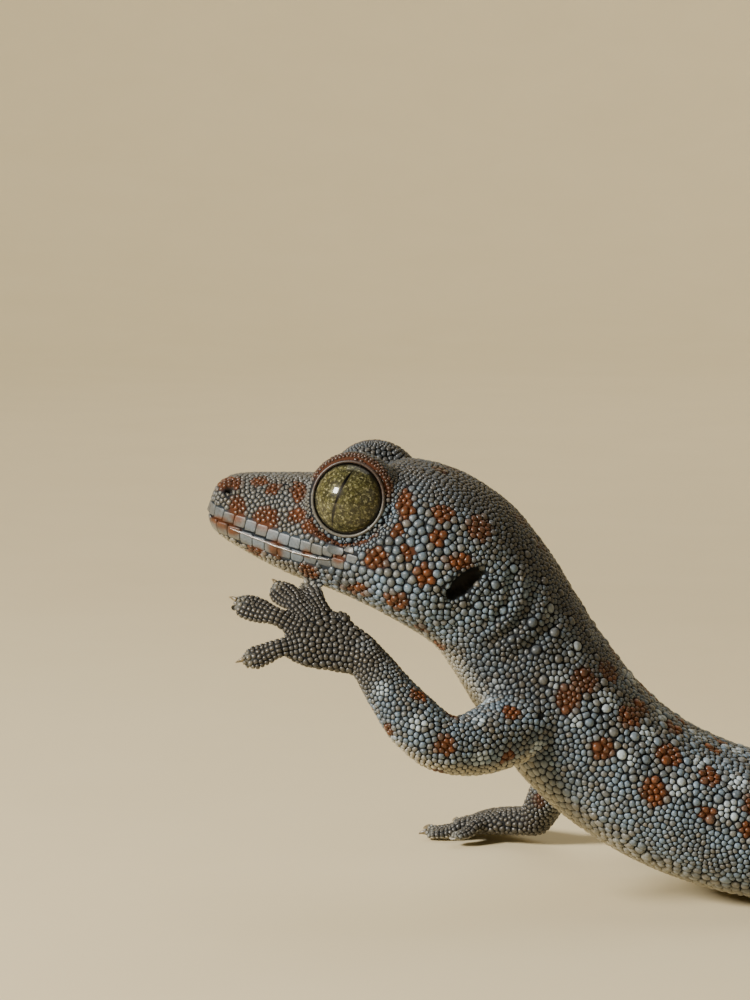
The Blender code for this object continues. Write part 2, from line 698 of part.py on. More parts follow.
def make_foot(name, wrist, forward, normal, toes, palm, limb):
    """A hand or foot: a flat palm and five toes, its root cut clear of the limb's domed end.

    wrist is its root, forward the way it points and normal the way its back faces. toes holds, for each toe
    from the inner to the outer side: its root's place along and across the palm, the angle and length of the
    toe, its pad's half width, and how far its root and its pad dip below the palm's plane.
    palm is (length, half width, root half width, root half depth, half depth).
    """
    normal = (normal - forward * normal.dot(forward)).normalized()
    outer = normal.cross(forward) * (1 if name.endswith("left") else -1)
    length, half, root_wide, root_deep, deep = palm
    shape = smooth_through(
        [
            (0.0, root_wide, root_deep, root_deep),
            (0.3, (root_wide + half) / 2, (root_deep + deep) / 2, deep),
            (0.7, half, deep, deep * 0.85),
            (0.92, half * 0.9, deep * 0.8, deep * 0.7),
            (1.0, half * 0.62, deep * 0.45, deep * 0.45),
        ]
    )
    rings = []
    for share in (0, 0.2, 0.4, 0.6, 0.8, 0.93, 1):
        wide, rise, drop = shape(share)
        middle = wrist + forward * length * share
        rings.append(ring(middle, outer, normal, wide, rise, drop, 14, (2.2, 2.4)))
    foot = as_object(skin_rings(rings), name)
    pieces = []
    for i, (along, across, angle, reach, width, dip, pad_dip) in enumerate(toes):
        turn, dip, pad_dip = math.radians(angle), math.radians(dip), math.radians(pad_dip)
        plane = forward * math.cos(turn) + outer * math.sin(turn)
        heading = plane * math.cos(dip) - normal * math.sin(dip)
        tipward = plane * math.cos(pad_dip) - normal * math.sin(pad_dip)
        back = (normal - heading * normal.dot(heading)).normalized()
        root = wrist + forward * along + outer * across
        base = root - heading * 2.0
        knuckle = root + heading * reach * 0.12 + back * 0.25
        middle = root + heading * reach * 0.36 + back * 0.45
        pad_start = root + heading * reach * 0.56 - back * 0.30
        tip = pad_start + tipward * reach * 0.44
        pieces.append(as_object(digit([base, knuckle, middle, pad_start, tip], back, width), "toe"))
        if i:
            pieces.append(as_object(claw(tip - tipward * 0.9 + back * 0.25, tipward, back), "claw"))
    boolean(foot, pieces, "UNION")
    boolean(foot, [limb], "DIFFERENCE")
    return keep_largest(foot)


def spine_point(place, side, up):
    centre, _, left, upward = SPINE.frame(place)
    return centre + left * side + upward * up


def make_limbs():
    """Every limb with its hand or foot."""
    snout = Vector(SPINE.points[0])
    below = Vector((0, 0, 0))
    level = (0, 0, 1)
    plan = [
        ("left", "arm", snout, LEFT_ELBOW, LEFT_WRIST, LEFT_HAND_FORWARD, LEFT_HAND_BACK),
        ("right", "arm", below, RIGHT_ELBOW, RIGHT_WRIST, RIGHT_HAND_FORWARD, level),
        ("left", "leg", below, LEFT_KNEE, LEFT_ANKLE, LEFT_FOOT_FORWARD, level),
        ("right", "leg", below, RIGHT_KNEE, RIGHT_ANKLE, RIGHT_FOOT_FORWARD, level),
    ]
    made = []
    for side_name, kind, datum, bend, end, forward, back in plan:
        bend, end = datum + Vector(bend), datum + Vector(end)
        forward = Vector(forward).normalized()
        side = 1 if side_name == "left" else -1
        arm = kind == "arm"
        joint = SHOULDER if arm else HIP
        root = spine_point(joint[0], joint[1] * side, joint[2])
        names = [name + side_name for name in (("upper_arm_", "forearm_") if arm else ("thigh_", "shank_"))]
        inward = ((root - bend).normalized() + (end - bend).normalized()) * BEND_ROUND
        bent = [bend.lerp(root, BEND_SPREAD), bend + inward, bend.lerp(end, BEND_SPREAD)]
        first, second = (bend - root).length, (end - bend).length
        upper, lower, clearance = make_limb(
            names, [root, *bent, end], ARM_RADII if arm else LEG_RADII, first / (first + second)
        )
        lifted = arm and side_name == "left"
        toes = LIFTED_TOES if lifted else HAND_TOES if arm else FOOT_TOES
        palm = HAND_PALM if arm else FOOT_PALM
        name = ("hand_" if arm else "foot_") + side_name
        foot = make_foot(name, end - forward * HEEL, forward, Vector(back), toes, palm, clearance)
        made += [upper, lower, foot]
        if not lifted:
            rest_on_floor(foot)
            rest_on_floor(lower)
    return made


COLOURS = {
    "eye": ((0.42, 0.40, 0.16), 0.12),
    "head": ((0.44, 0.48, 0.52), 0.55),
    "tail": ((0.34, 0.38, 0.42), 0.6),
    "skin": ((0.38, 0.42, 0.46), 0.6),
}


def finish(objects):
    """Materials, smooth shading, and the whole set down centred on the origin."""
    for each in objects:
        kind = each.name.split("_")[0]
        colour, rough = COLOURS.get(kind, COLOURS["skin"])
        material = bpy.data.materials.new(each.name)
        material.use_nodes = True
        shader = material.node_tree.nodes["Principled BSDF"]
        shader.inputs["Base Color"].default_value = (*colour, 1)
        shader.inputs["Roughness"].default_value = rough
        each.data.materials.clear()
        each.data.materials.append(material)
        each.data.shade_smooth()
    corners = np.array([vert.co for each in objects for vert in each.data.vertices])
    middle = (corners.min(0) + corners.max(0)) / 2
    stand = bpy.data.objects.new("gecko", None)
    bpy.context.scene.collection.objects.link(stand)
    stand.location = (-middle[0], -middle[1], 0)
    for each in objects:
        each.parent = stand


def main():
    for each in list(bpy.data.objects):
        bpy.data.objects.remove(each)
    finish(make_head() + make_body() + make_limbs())


main()
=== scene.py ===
"""The look of the tokay gecko: one skin, some 22,000 bead-like scales, glossy eyes and small claws.

Lengths are in millimetres and angles in degrees, in the solids' own model space, where the snout is at x = 0.
Each mesh is moved into the frame and turned to metres once, when it is finished.
"""
import json
from math import acos, copysign, cos, exp, pi, radians, sin, sqrt

import bmesh
import bpy
import numpy as np
from mathutils import Matrix, Vector
from mathutils.bvhtree import BVHTree
from mathutils.kdtree import KDTree

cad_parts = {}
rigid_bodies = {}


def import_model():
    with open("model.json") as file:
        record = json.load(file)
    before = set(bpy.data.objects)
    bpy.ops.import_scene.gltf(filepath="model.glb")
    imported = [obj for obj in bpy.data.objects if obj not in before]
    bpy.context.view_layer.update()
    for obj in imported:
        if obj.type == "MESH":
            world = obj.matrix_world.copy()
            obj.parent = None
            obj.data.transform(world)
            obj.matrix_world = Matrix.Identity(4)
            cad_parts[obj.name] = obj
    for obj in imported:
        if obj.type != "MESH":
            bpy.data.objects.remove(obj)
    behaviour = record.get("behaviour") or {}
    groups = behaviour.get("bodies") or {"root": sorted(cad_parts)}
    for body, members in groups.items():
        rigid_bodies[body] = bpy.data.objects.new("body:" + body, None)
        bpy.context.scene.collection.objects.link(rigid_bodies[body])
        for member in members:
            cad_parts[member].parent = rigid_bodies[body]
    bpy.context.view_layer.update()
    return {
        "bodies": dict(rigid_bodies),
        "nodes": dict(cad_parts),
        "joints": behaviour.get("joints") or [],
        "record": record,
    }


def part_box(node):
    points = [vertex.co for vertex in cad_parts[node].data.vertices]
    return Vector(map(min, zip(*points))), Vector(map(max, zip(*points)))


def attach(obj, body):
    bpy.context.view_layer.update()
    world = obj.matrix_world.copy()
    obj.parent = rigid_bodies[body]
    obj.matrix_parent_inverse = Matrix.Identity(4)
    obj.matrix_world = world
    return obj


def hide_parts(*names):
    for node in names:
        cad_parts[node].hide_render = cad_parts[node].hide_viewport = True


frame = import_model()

MM = 0.001
RANDOM = np.random.default_rng(7)

# Driving sizes, as in the solids
HEAD_LENGTH = 44.0
HEAD_HALF_WIDTH = 16.8
HEAD_RISE = 13.6
HEAD_DROP = 11.6
BODY_HALF_WIDTH = 17.6
BODY_HALF_DEPTH = 11.4
SNOUT_TO_VENT = 157.0
TAIL_LENGTH = 135.0
TAIL_BASE_RADIUS = 7.6
TAIL_TIP_RADIUS = 0.9
SPINE_LENGTH = SNOUT_TO_VENT + TAIL_LENGTH
SINK = 0.4
EYE_RADIUS = 6.5
EYE_OPENING = 5.7
EYE_BACK = 0.62
LID_THICKNESS = 1.4

# Along the spine: how steeply it falls towards the tail, and its heading towards +Y
PITCH = [
    (0, 10.8), (30, 12), (38, 27), (46, 43), (54, 52), (66, 54),
    (77, 43), (92, 25), (108, 10), (122, 2), (134, 0),
]
HEADING = [
    (0, 0), (38, 0), (60, 5), (95, 9), (130, 3), (157, -8),
    (182, -24), (210, -16), (240, 16), (268, 44), (292, 62),
]
# Section at shares of the head's length: shares of its half width, rise and drop
HEAD_SHAPE = [
    (0.000, 0.12, 0.13, 0.11),
    (0.020, 0.20, 0.29, 0.20),
    (0.045, 0.285, 0.38, 0.29),
    (0.090, 0.365, 0.475, 0.375),
    (0.160, 0.435, 0.555, 0.46),
    (0.270, 0.56, 0.655, 0.57),
    (0.370, 0.65, 0.71, 0.64),
    (0.480, 0.76, 0.78, 0.67),
    (0.590, 0.87, 0.95, 0.72),
    (0.700, 0.96, 1.09, 0.80),
    (0.820, 1.00, 1.10, 0.87),
    (0.930, 0.975, 1.08, 0.88),
]
# Section at places along the spine behind the head: shares of the body's half width, rise and drop
BODY_SHAPE = [
    (47, 0.83, 1.18, 0.88),
    (54, 0.77, 1.08, 0.93),
    (62, 0.80, 1.02, 1.00),
    (72, 0.90, 1.02, 1.04),
    (88, 0.97, 1.00, 1.00),
    (106, 1.00, 0.97, 0.97),
    (124, 0.93, 0.93, 0.92),
    (138, 0.76, 0.86, 0.84),
    (148, 0.60, 0.77, 0.76),
]
# Head features, in the head's own frame: back from the snout, out to the side, up
EYE_CENTRE = (24.7, 8.8, 7.5)
EYE_AXIS = (-0.17, 0.96, 0.14)
# Oval openings on the head's sides: centre, half length and half height, and tilt
EAR = ((44.9, 15.2, -0.7), (3.9, 1.5), 50.0)
NOSTRIL = ((3.9, 4.6, 4.2), (0.8, 0.6), 20.0)
MOUTH_LINE = [(-0.4, -0.7), (1.3, -0.8), (8.3, -1.3), (17.4, -1.9), (22.4, -1.6), (25.6, -0.5), (27.4, 1.1)]
# Hollows of the head: centre, spread, depth and the way it is pressed, on both sides and midway
SIDE_HOLLOWS = [
    ((13.5, 10.0, 4.0), 2.8, 0.7, (0, -1, 0)),
    ((36.0, 9.0, 10.0), 3.6, 0.8, (0, 0.6, 0.8)),
    ((38.0, 16.0, -3.5), 4.5, 0.8, (0, 1, -0.2)),
    ((34.0, 15.0, 6.0), 3.0, 0.7, (0, -1, 0)),
]
MIDDLE_HOLLOWS = [
    ((12.0, 0, 8.0), 3.0, 0.6, (0, 0, -1)),
    ((22.5, 0, 11.5), 4.0, 1.3, (0, 0, -1)),
]
NOSTRIL_SWELLING = ((3.9, 2.8, 3.2), 2.9)

# Limbs, as in the solids
SHOULDER = (66.0, 9.5, -4.0)
HIP = (143.0, 6.5, -1.0)
# Side, elbow or knee, wrist or ankle, the way the hand or foot points, and the way its back faces. The lifted
# arm's places are given from the snout's tip, and the others from the floor below it.
LIMB_PLAN = {
    "arm_left": (1, (41.6, -22.0, -34.8), (28.8, -18.0, -20.3), (-0.944, 0.0, 0.33), (0.2, -0.82, 0.57)),
    "arm_right": (-1, (57.0, 29.5, 21.0), (48.5, 36.0, 4.2), (-0.90, 0.42, -0.14), (0, 0, 1)),
    "leg_left": (1, (109.0, -26.0, 13.0), (126.5, -35.5, 4.2), (-0.62, -0.78, -0.14), (0, 0, 1)),
    "leg_right": (-1, (118.0, 38.0, 13.0), (137.0, 44.0, 4.2), (-0.78, 0.62, -0.14), (0, 0, 1)),
}
HEEL = 0.5
BEND_ROUND = 1.6
BEND_SPREAD = 0.26
# Share of the limb's length, half width and half depth
ARM_RADII = [
    (0.0, 7.0, 6.0), (0.25, 5.6, 5.4), (0.48, 4.6, 4.6),
    (0.62, 4.7, 4.6), (0.8, 4.1, 3.8), (1.0, 3.3, 2.7),
]
LEG_RADII = [
    (0.0, 8.6, 7.2), (0.22, 7.2, 6.4), (0.5, 5.2, 5.2),
    (0.64, 5.3, 5.0), (0.82, 4.3, 3.8), (1.0, 3.4, 2.8),
]
# Toes: root along and across the palm, angle, length, pad half width, dip of root and of pad
LIFTED_TOES = [
    (6.0, -3.8, -70, 7.5, 2.0, 60, 70),
    (9.0, -4.0, -46, 9.5, 2.35, 26, 44),
    (10.4, -1.9, -36, 10.5, 2.45, 14, 26),
    (11.4, -0.2, -7, 11.5, 2.4, 2, 12),
    (10.6, 2.3, 36, 9.0, 2.1, 4, 16),
]
HAND_TOES = [
    (8.0, -3.2, -62, 7.5, 1.8, 8, 2),
    (9.6, -2.4, -28, 10.0, 2.0, 6, 2),
    (10.4, -0.6, -2, 11.5, 2.1, 6, 2),
    (10.2, 1.4, 24, 12.0, 2.15, 6, 2),
    (8.6, 2.9, 58, 9.5, 2.0, 8, 2),
]
FOOT_TOES = [
    (9.0, -3.4, -52, 9.0, 1.9, 8, 2),
    (10.8, -2.4, -26, 12.0, 2.1, 6, 2),
    (11.6, -0.6, -2, 14.0, 2.2, 5, 2),
    (11.4, 1.4, 24, 15.0, 2.25, 5, 2),
    (9.2, 3.0, 72, 12.0, 2.1, 6, 2),
]
# Palm: length, half width, half width and half depth of its root, half depth
HAND_PALM = (13.0, 5.3, 3.1, 2.5, 2.2)
FOOT_PALM = (14.5, 5.6, 3.2, 2.6, 2.3)
CLAW_LENGTH = 2.1
# The round sheath at the end of a toe: its radius, and its place along the claw
SHEATH_RADIUS = 0.85
SHEATH_PLACE = 0.3

# How fine the skin is made, how deep the scales over it are, and how many triangles it keeps
SKIN_VOXEL = 0.45
COAT_DEPTH = 0.36
COAT_DEPTH_TOES = 0.2
SKIN_TRIANGLES = 190000

# The photograph's view. A pixel there spans PIXEL at the head, and the snout's tip falls on SNOUT_PIXEL.
VIEW_AZIMUTH = 10.0
VIEW_ELEVATION = 7.0
VIEW_DISTANCE = 600.0
LENS = 135.0
FRAME_WIDTH, FRAME_HEIGHT = 750, 1000
PIXEL = 0.16
SNOUT_PIXEL = (207, 507)


def smooth_through(rows):
    """A smooth function through rows of (place, value, ...), without overshoot."""
    place = np.array([row[0] for row in rows], float)
    value = np.array([row[1:] for row in rows], float)
    secant = np.diff(value, axis=0) / np.diff(place)[:, None]
    product = secant[1:] * secant[:-1]
    inner = np.where(product > 0, 2 * product / (secant[1:] + secant[:-1] + 1e-12), 0)
    slope = np.vstack([secant[:1], inner, secant[-1:]])

    def at(where):
        where = min(max(where, place[0]), place[-1])
        i = int(min(np.searchsorted(place, where, side="right") - 1, len(place) - 2))
        step = place[i + 1] - place[i]
        t = (where - place[i]) / step
        low = (1 + 2 * t) * (1 - t) ** 2 * value[i] + t * (1 - t) ** 2 * step * slope[i]
        high = t * t * (3 - 2 * t) * value[i + 1] + t * t * (t - 1) * step * slope[i + 1]
        return low + high

    return at


def curve_through(points):
    """A smooth curve through points, by the way along it, and its length."""
    ways = np.cumsum([0] + [(Vector(b) - Vector(a)).length for a, b in zip(points, points[1:])])
    return smooth_through([(way, *point) for way, point in zip(ways, points)]), ways[-1]


def section_rows():
    """Half width, rise and drop along the whole spine."""
    rows = [
        (share * HEAD_LENGTH, width * HEAD_HALF_WIDTH, rise * HEAD_RISE, drop * HEAD_DROP)
        for share, width, rise, drop in HEAD_SHAPE
    ]
    rows += [
        (place, width * BODY_HALF_WIDTH, rise * BODY_HALF_DEPTH, drop * BODY_HALF_DEPTH)
        for place, width, rise, drop in BODY_SHAPE
    ]
    for share in (0.0, 0.06, 0.14, 0.3, 0.5, 0.7, 0.88, 1.0):
        swell = 1 + 0.06 * sin(min(share / 0.12, 1) * pi)
        radius = TAIL_TIP_RADIUS + (TAIL_BASE_RADIUS - TAIL_TIP_RADIUS) * (1 - share) ** 0.9
        rows.append((SNOUT_TO_VENT + share * TAIL_LENGTH, radius * swell, radius * 0.9, radius * 0.86))
    return rows


SECTION = smooth_through(section_rows())


class Spine:
    """The animal's centre line, with the ways back, left and up along it."""

    STEP = 0.5

    def __init__(self):
        pitch, heading = smooth_through(PITCH), smooth_through(HEADING)
        self.places = np.arange(0, SPINE_LENGTH + 2 * self.STEP, self.STEP)
        points = [np.zeros(3)]
        for place in self.places[:-1] + self.STEP / 2:
            fall, turn = radians(pitch(place)[0]), radians(heading(place)[0])
            level = cos(fall)
            back = np.array([cos(turn) * level, sin(turn) * level, -sin(fall)])
            points.append(points[-1] + back * self.STEP)
        points = np.array(points)
        resting = np.array([SECTION(place)[2] for place in self.places]) - SINK
        belly = int(PITCH[-1][0] / self.STEP)
        points[:, 2] += resting[belly] - points[belly, 2]
        soft = 0.4
        points[:, 2] = resting + soft * np.logaddexp(0, (points[:, 2] - resting) / soft)
        points[belly:, 2] = resting[belly:]
        self.points = points
        self.directions = np.gradient(points, axis=0)

    def frame(self, place):
        point, back = (
            Vector([np.interp(place, self.places, rows[:, i]) for i in range(3)])
            for rows in (self.points, self.directions)
        )
        back.normalize()
        left = Vector((back.y, -back.x, 0)).normalized()
        return point, back, left, left.cross(back)


SPINE = Spine()
SNOUT, TAILWARD, LEFTWARD, UPWARD = SPINE.frame(1.0)
HEAD_AXES = np.array([TAILWARD, LEFTWARD, UPWARD])


def head_point(back, side, up):
    """A point of the head's own frame: back from the snout, left and up."""
    return SNOUT + TAILWARD * (back - 1.0) + LEFTWARD * side + UPWARD * up


def head_direction(back, side, up):
    return (TAILWARD * back + LEFTWARD * side + UPWARD * up).normalized()


def in_head_frame(points):
    """Rows of back, side and up in the head's own frame."""
    return (points - np.array(SNOUT)) @ HEAD_AXES.T + np.array([1.0, 0, 0])


def mirrored(triple, side):
    return triple[0], triple[1] * side, triple[2]


def turned_to(axis):
    """The rotation that carries +Z to axis."""
    return axis.to_track_quat("Z", "Y").to_matrix().to_4x4()


def smoothstep(low, high, values):
    share = np.clip((values - low) / (high - low), 0, 1)
    return share * share * (3 - 2 * share)


def unit(vectors):
    return vectors / (np.linalg.norm(vectors, axis=-1, keepdims=True) + 1e-12)


def eye_ball(centre, axis, radius, segments, rings):
    """A ball with its poles on an eye's axis, flatter on its inner side."""
    bm = bmesh.new()
    bmesh.ops.create_uvsphere(bm, u_segments=segments, v_segments=rings, radius=radius)
    for vert in bm.verts:
        if vert.co.z < 0:
            vert.co.z *= EYE_BACK
    bmesh.ops.transform(bm, matrix=Matrix.Translation(centre) @ turned_to(axis), verts=bm.verts)
    return bm


def model_offset():
    """How far the solids were moved when they were set down, by the left eyeball's place."""
    ball = eye_ball(head_point(*EYE_CENTRE), head_direction(*EYE_AXIS), EYE_RADIUS, 22, 14)
    lowest = np.array([vert.co for vert in ball.verts]).min(0)
    ball.free()
    return Vector(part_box("eye_left")[0]) / MM - Vector(lowest)


OFFSET = model_offset()


def into_frame(points):
    return (np.asarray(points) + np.array(OFFSET)) * MM


# How square the upper and the lower half of a section are, where 2 is an oval
BODY_SQUARE, ROUND = (2.2, 2.3), (2.0, 2.0)


def ring(centre, side, up, width, rise, drop, count, square=BODY_SQUARE):
    """A closed section, with its own rise above and drop below its centre."""
    points = []
    for k in range(count):
        angle = 2 * pi * k / count
        across, along = cos(angle), sin(angle)
        power = 2 / (square[0] if along > 0 else square[1])
        height = rise if along > 0 else drop
        out = width * copysign(abs(across) ** power, across)
        lift = height * copysign(abs(along) ** power, along)
        points.append(centre + side * out + up * lift)
    return points


def skin_rings(rings, first_pole=None, last_pole=None):
    """A closed mesh over rings of points. Each end is flat, or closes on a pole."""
    bm = bmesh.new()
    edges = []
    for points in rings:
        verts = bmesh.ops.create_circle(bm, segments=len(points), radius=1.0)["verts"]
        for vert, point in zip(verts, points):
            vert.co = point
        edges.append(list({edge for vert in verts for edge in vert.link_edges}))
    for near, far in zip(edges, edges[1:]):
        bmesh.ops.bridge_loops(bm, edges=near + far)
    for end, pole in ((edges[0], first_pole), (edges[-1], last_pole)):
        if pole is None:
            bmesh.ops.edgeloop_fill(bm, edges=end)
            continue
        grown = bmesh.ops.extrude_edge_only(bm, edges=end)["geom"]
        tip = [each for each in grown if isinstance(each, bmesh.types.BMVert)]
        bmesh.ops.pointmerge(bm, verts=tip, merge_co=pole)
    bmesh.ops.recalc_face_normals(bm, faces=bm.faces)
    return bm


def bulge(points, centre, radius, softness=6):
    """Pushes points out of a ball round centre, with a smooth change at its edge."""
    for point in points:
        offset = point - centre
        distance = offset.length
        reach = (distance**softness + radius**softness) ** (1 / softness)
        point += offset.normalized() * (reach - distance)


def dent(points, centre, spread, depth, direction):
    """Presses points near centre along direction."""
    for point in points:
        share = exp(-((point - centre).length_squared) / (2 * spread * spread))
        point += direction * depth * share


# Rings along the spine: how far back they stand close, the steps there and behind, and their points
CLOSE_RINGS, HEAD_STEP, BODY_STEP, RING_POINTS = 48, 0.8, 1.6, 72
HEAD_RINGS, SNOUT_POLE = 75, (-0.7, 0, 0.2)


def body_sweep():
    """Head, neck, torso and tail as one closed sweep along the spine."""
    places = [*np.arange(0, CLOSE_RINGS, HEAD_STEP), *np.arange(CLOSE_RINGS, SPINE_LENGTH, BODY_STEP)]
    rings = []
    for place in [*places, SPINE_LENGTH]:
        centre, _, left, up = SPINE.frame(place)
        width, rise, drop = SECTION(place)
        rings.append(ring(centre, left, up, width, rise, drop, RING_POINTS))
    head = [point for each in rings[:HEAD_RINGS] for point in each]
    for side in (1, -1):
        bulge(head, head_point(*mirrored(EYE_CENTRE, side)), EYE_RADIUS)
        swelling, radius = NOSTRIL_SWELLING
        bulge(head, head_point(*mirrored(swelling, side)), radius)
        for centre, spread, depth, way in SIDE_HOLLOWS:
            direction = head_direction(*mirrored(way, side))
            dent(head, head_point(*mirrored(centre, side)), spread, depth, direction)
    for centre, spread, depth, way in MIDDLE_HOLLOWS:
        dent(head, head_point(*centre), spread, depth, head_direction(*way))
    tip, back, _, _ = SPINE.frame(SPINE_LENGTH)
    return skin_rings(rings, head_point(*SNOUT_POLE), tip + back * TAIL_TIP_RADIUS)


# The raised rim of skin round an eye: its distance from the opening, its radius and how deep it is set
LID_WELT = (0.5, 0.65, 0.25)


def lid_ring(centre, axis):
    """The raised rim of skin round an eye, as a ring about its axis."""
    bm = bmesh.new()
    out, thick, sunk = LID_WELT
    rim = EYE_OPENING + out
    height = sqrt((EYE_RADIUS + LID_THICKNESS) ** 2 - rim**2) - sunk
    bmesh.ops.create_circle(bm, segments=12, radius=thick)
    upright = Matrix.Translation((rim, 0, height)) @ Matrix.Rotation(radians(90), 4, "X")
    bmesh.ops.transform(bm, matrix=upright, verts=bm.verts)
    bmesh.ops.spin(
        bm, geom=bm.verts[:] + bm.edges[:], cent=(0, 0, 0), axis=(0, 0, 1),
        angle=2 * pi, steps=64, use_merge=True,
    )
    bmesh.ops.recalc_face_normals(bm, faces=bm.faces)
    bmesh.ops.transform(bm, matrix=Matrix.Translation(centre) @ turned_to(axis), verts=bm.verts)
    return bm


def along_path(points, shares, facing=Vector((0, 0, 1))):
    """(centre, side, up, share) at shares of a smooth curve, with its upper side facing one way."""
    line, total = curve_through(points)
    frames = []
    for share in shares:
        here = Vector(line(share * total))
        ahead = Vector(line(min(share * total + 0.3, total)))
        behind = Vector(line(max(share * total - 0.3, 0)))
        forward = (ahead - behind).normalized()
        side = forward.cross(facing).normalized()
        frames.append((here, side, side.cross(forward), share))
    return frames


# Points in a ring of a limb and of a toe, and how square a palm and a toe are
LIMB_POINTS, TOE_POINTS = 32, 20
PALM_SQUARE, TOE_SQUARE = (2.2, 2.4), (2.0, 2.6)
# A toe's bow at its knuckle, middle and pad's start, by shares of its reach, and its start in the palm
TOE_BOW = [(0.12, 0.25), (0.36, 0.45), (0.56, -0.30)]
TOE_BURIED = 2.0
# Where a claw starts, back and up from the toe's tip, and how it bows up and then down
CLAW_ROOT = (0.9, 0.25)
CLAW_BOW = (0.55, 2.2, 0.25)


class Toe:
    """One toe: its centre line, the ways its back and its tip face, and its pad's half width."""

    def __init__(self, wrist, forward, outer, normal, row):
        along, across, angle, reach, self.width, dip, pad_dip = row
        turn, dip, pad_dip = radians(angle), radians(dip), radians(pad_dip)
        plane = forward * cos(turn) + outer * sin(turn)
        heading = plane * cos(dip) - normal * sin(dip)
        self.tipward = plane * cos(pad_dip) - normal * sin(pad_dip)
        self.back = (normal - heading * normal.dot(heading)).normalized()
        root = wrist + forward * along + outer * across
        base = root - heading * TOE_BURIED
        bowed = [root + heading * reach * share + self.back * bow for share, bow in TOE_BOW]
        self.tip = bowed[-1] + self.tipward * reach * (1 - TOE_BOW[-1][0])
        self.line = [base, *bowed, self.tip]
        self.shape = smooth_through(
            [
                (0.00, 1.60, 1.25, 1.05),
                (0.30, 1.55, 1.30, 1.00),
                (0.48, 1.70, 1.20, 0.90),
                (0.66, self.width * 0.94, 1.05, 0.75),
                (0.82, self.width, 0.90, 0.62),
                (0.94, self.width * 0.86, 0.70, 0.50),
                (1.00, self.width * 0.50, 0.36, 0.28),
            ]
        )

    def length(self):
        return sum((b - a).length for a, b in zip(self.line, self.line[1:]))

    def sweep(self):
        rings = []
        for centre, side, up, share in along_path(self.line, np.linspace(0, 1, 26), self.back):
            half, rise, drop = self.shape(share)
            rings.append(ring(centre, side, up, half, rise, drop, TOE_POINTS, TOE_SQUARE))
        return skin_rings(rings)

    def claw_frames(self, shares):
        """Places along the claw, which hooks down from the pad's end."""
        behind, above = CLAW_ROOT
        rise, turn, fall = CLAW_BOW
        root = self.tip - self.tipward * behind + self.back * above
        frames = []
        for share in shares:
            bow = self.back * (rise * sin(share * turn) - fall * share)
            frames.append(root + self.tipward * CLAW_LENGTH * share + bow)
        return frames

    def sheath(self):
        """The round knob of skin that a claw leaves."""
        bm = bmesh.new()
        bmesh.ops.create_icosphere(bm, subdivisions=3, radius=SHEATH_RADIUS)
        centre = self.claw_frames([SHEATH_PLACE])[0]
        bmesh.ops.translate(bm, vec=centre, verts=bm.verts)
        return bm


class Limb:
    """One limb from its root in the body to its toes."""

    def __init__(self, name, side, bend, end, forward, back):
        self.name, self.side, self.arm = name, side, name.startswith("arm")
        forward, back = Vector(forward).normalized(), Vector(back)
        place, out, up = SHOULDER if self.arm else HIP
        centre, _, left, upward = SPINE.frame(place)
        root = centre + left * out * side + upward * up
        inward = ((root - bend).normalized() + (end - bend).normalized()) * BEND_ROUND
        bent = [bend.lerp(root, BEND_SPREAD), bend + inward, bend.lerp(end, BEND_SPREAD)]
        self.line = [root, *bent, end]
        self.radii = smooth_through(ARM_RADII if self.arm else LEG_RADII)
        self.forward = forward
        self.normal = (back - forward * back.dot(forward)).normalized()
        self.outer = self.normal.cross(forward) * side
        self.wrist = end - forward * HEEL
        self.palm = HAND_PALM if self.arm else FOOT_PALM
        rows = LIFTED_TOES if name == "arm_left" else HAND_TOES if self.arm else FOOT_TOES
        self.toes = [Toe(self.wrist, forward, self.outer, self.normal, row) for row in rows]

    def sweep(self):
        rings = []
        for centre, side, up, share in along_path(self.line, np.linspace(0, 1, 40)):
            wide, deep = self.radii(share)
            rings.append(ring(centre, side, up, wide, deep, deep, LIMB_POINTS, ROUND))
        forward = up.cross(side).normalized()
        for turn in (radians(30), radians(60)):
            middle, shrink = centre + forward * deep * sin(turn), cos(turn)
            low = deep * shrink
            rings.append(ring(middle, side, up, wide * shrink, low, low, LIMB_POINTS, ROUND))
        return skin_rings(rings, last_pole=centre + forward * deep)

    def palm_sweep(self):
        length, half, root_wide, root_deep, deep = self.palm
        shape = smooth_through(
            [
                (0.0, root_wide, root_deep, root_deep),
                (0.3, (root_wide + half) / 2, (root_deep + deep) / 2, deep),
                (0.7, half, deep, deep * 0.85),
                (0.92, half * 0.9, deep * 0.8, deep * 0.7),
                (1.0, half * 0.62, deep * 0.45, deep * 0.45),
            ]
        )
        rings = []
        for share in np.linspace(0, 1, 16):
            wide, rise, drop = shape(share)
            middle = self.wrist + self.forward * length * share
            rings.append(ring(middle, self.outer, self.normal, wide, rise, drop, LIMB_POINTS, PALM_SQUARE))
        return skin_rings(rings)


def make_limbs():
    limbs = []
    for name, (side, bend, end, forward, back) in LIMB_PLAN.items():
        datum = Vector(SPINE.points[0] if name == "arm_left" else (0, 0, 0))
        limbs.append(Limb(name, side, datum + Vector(bend), datum + Vector(end), forward, back))
    return limbs


LIMBS = make_limbs()
TOES = [toe for limb in LIMBS for toe in limb.toes]
EYES = [
    (side, head_point(*mirrored(EYE_CENTRE, side)), head_direction(*mirrored(EYE_AXIS, side)))
    for side in (1, -1)
]


def new_object(data, name):
    made = bpy.data.objects.new(name, data)
    bpy.context.scene.collection.objects.link(made)
    return made


def applied(target):
    """The mesh that target's modifiers make. The object and its old mesh are removed."""
    graph = bpy.context.evaluated_depsgraph_get()
    made = bpy.data.meshes.new_from_object(target.evaluated_get(graph))
    old = target.data
    bpy.data.objects.remove(target)
    bpy.data.meshes.remove(old)
    return made


def into_mesh(bm, name):
    mesh = bpy.data.meshes.new(name)
    bm.to_mesh(mesh)
    bm.free()
    return mesh


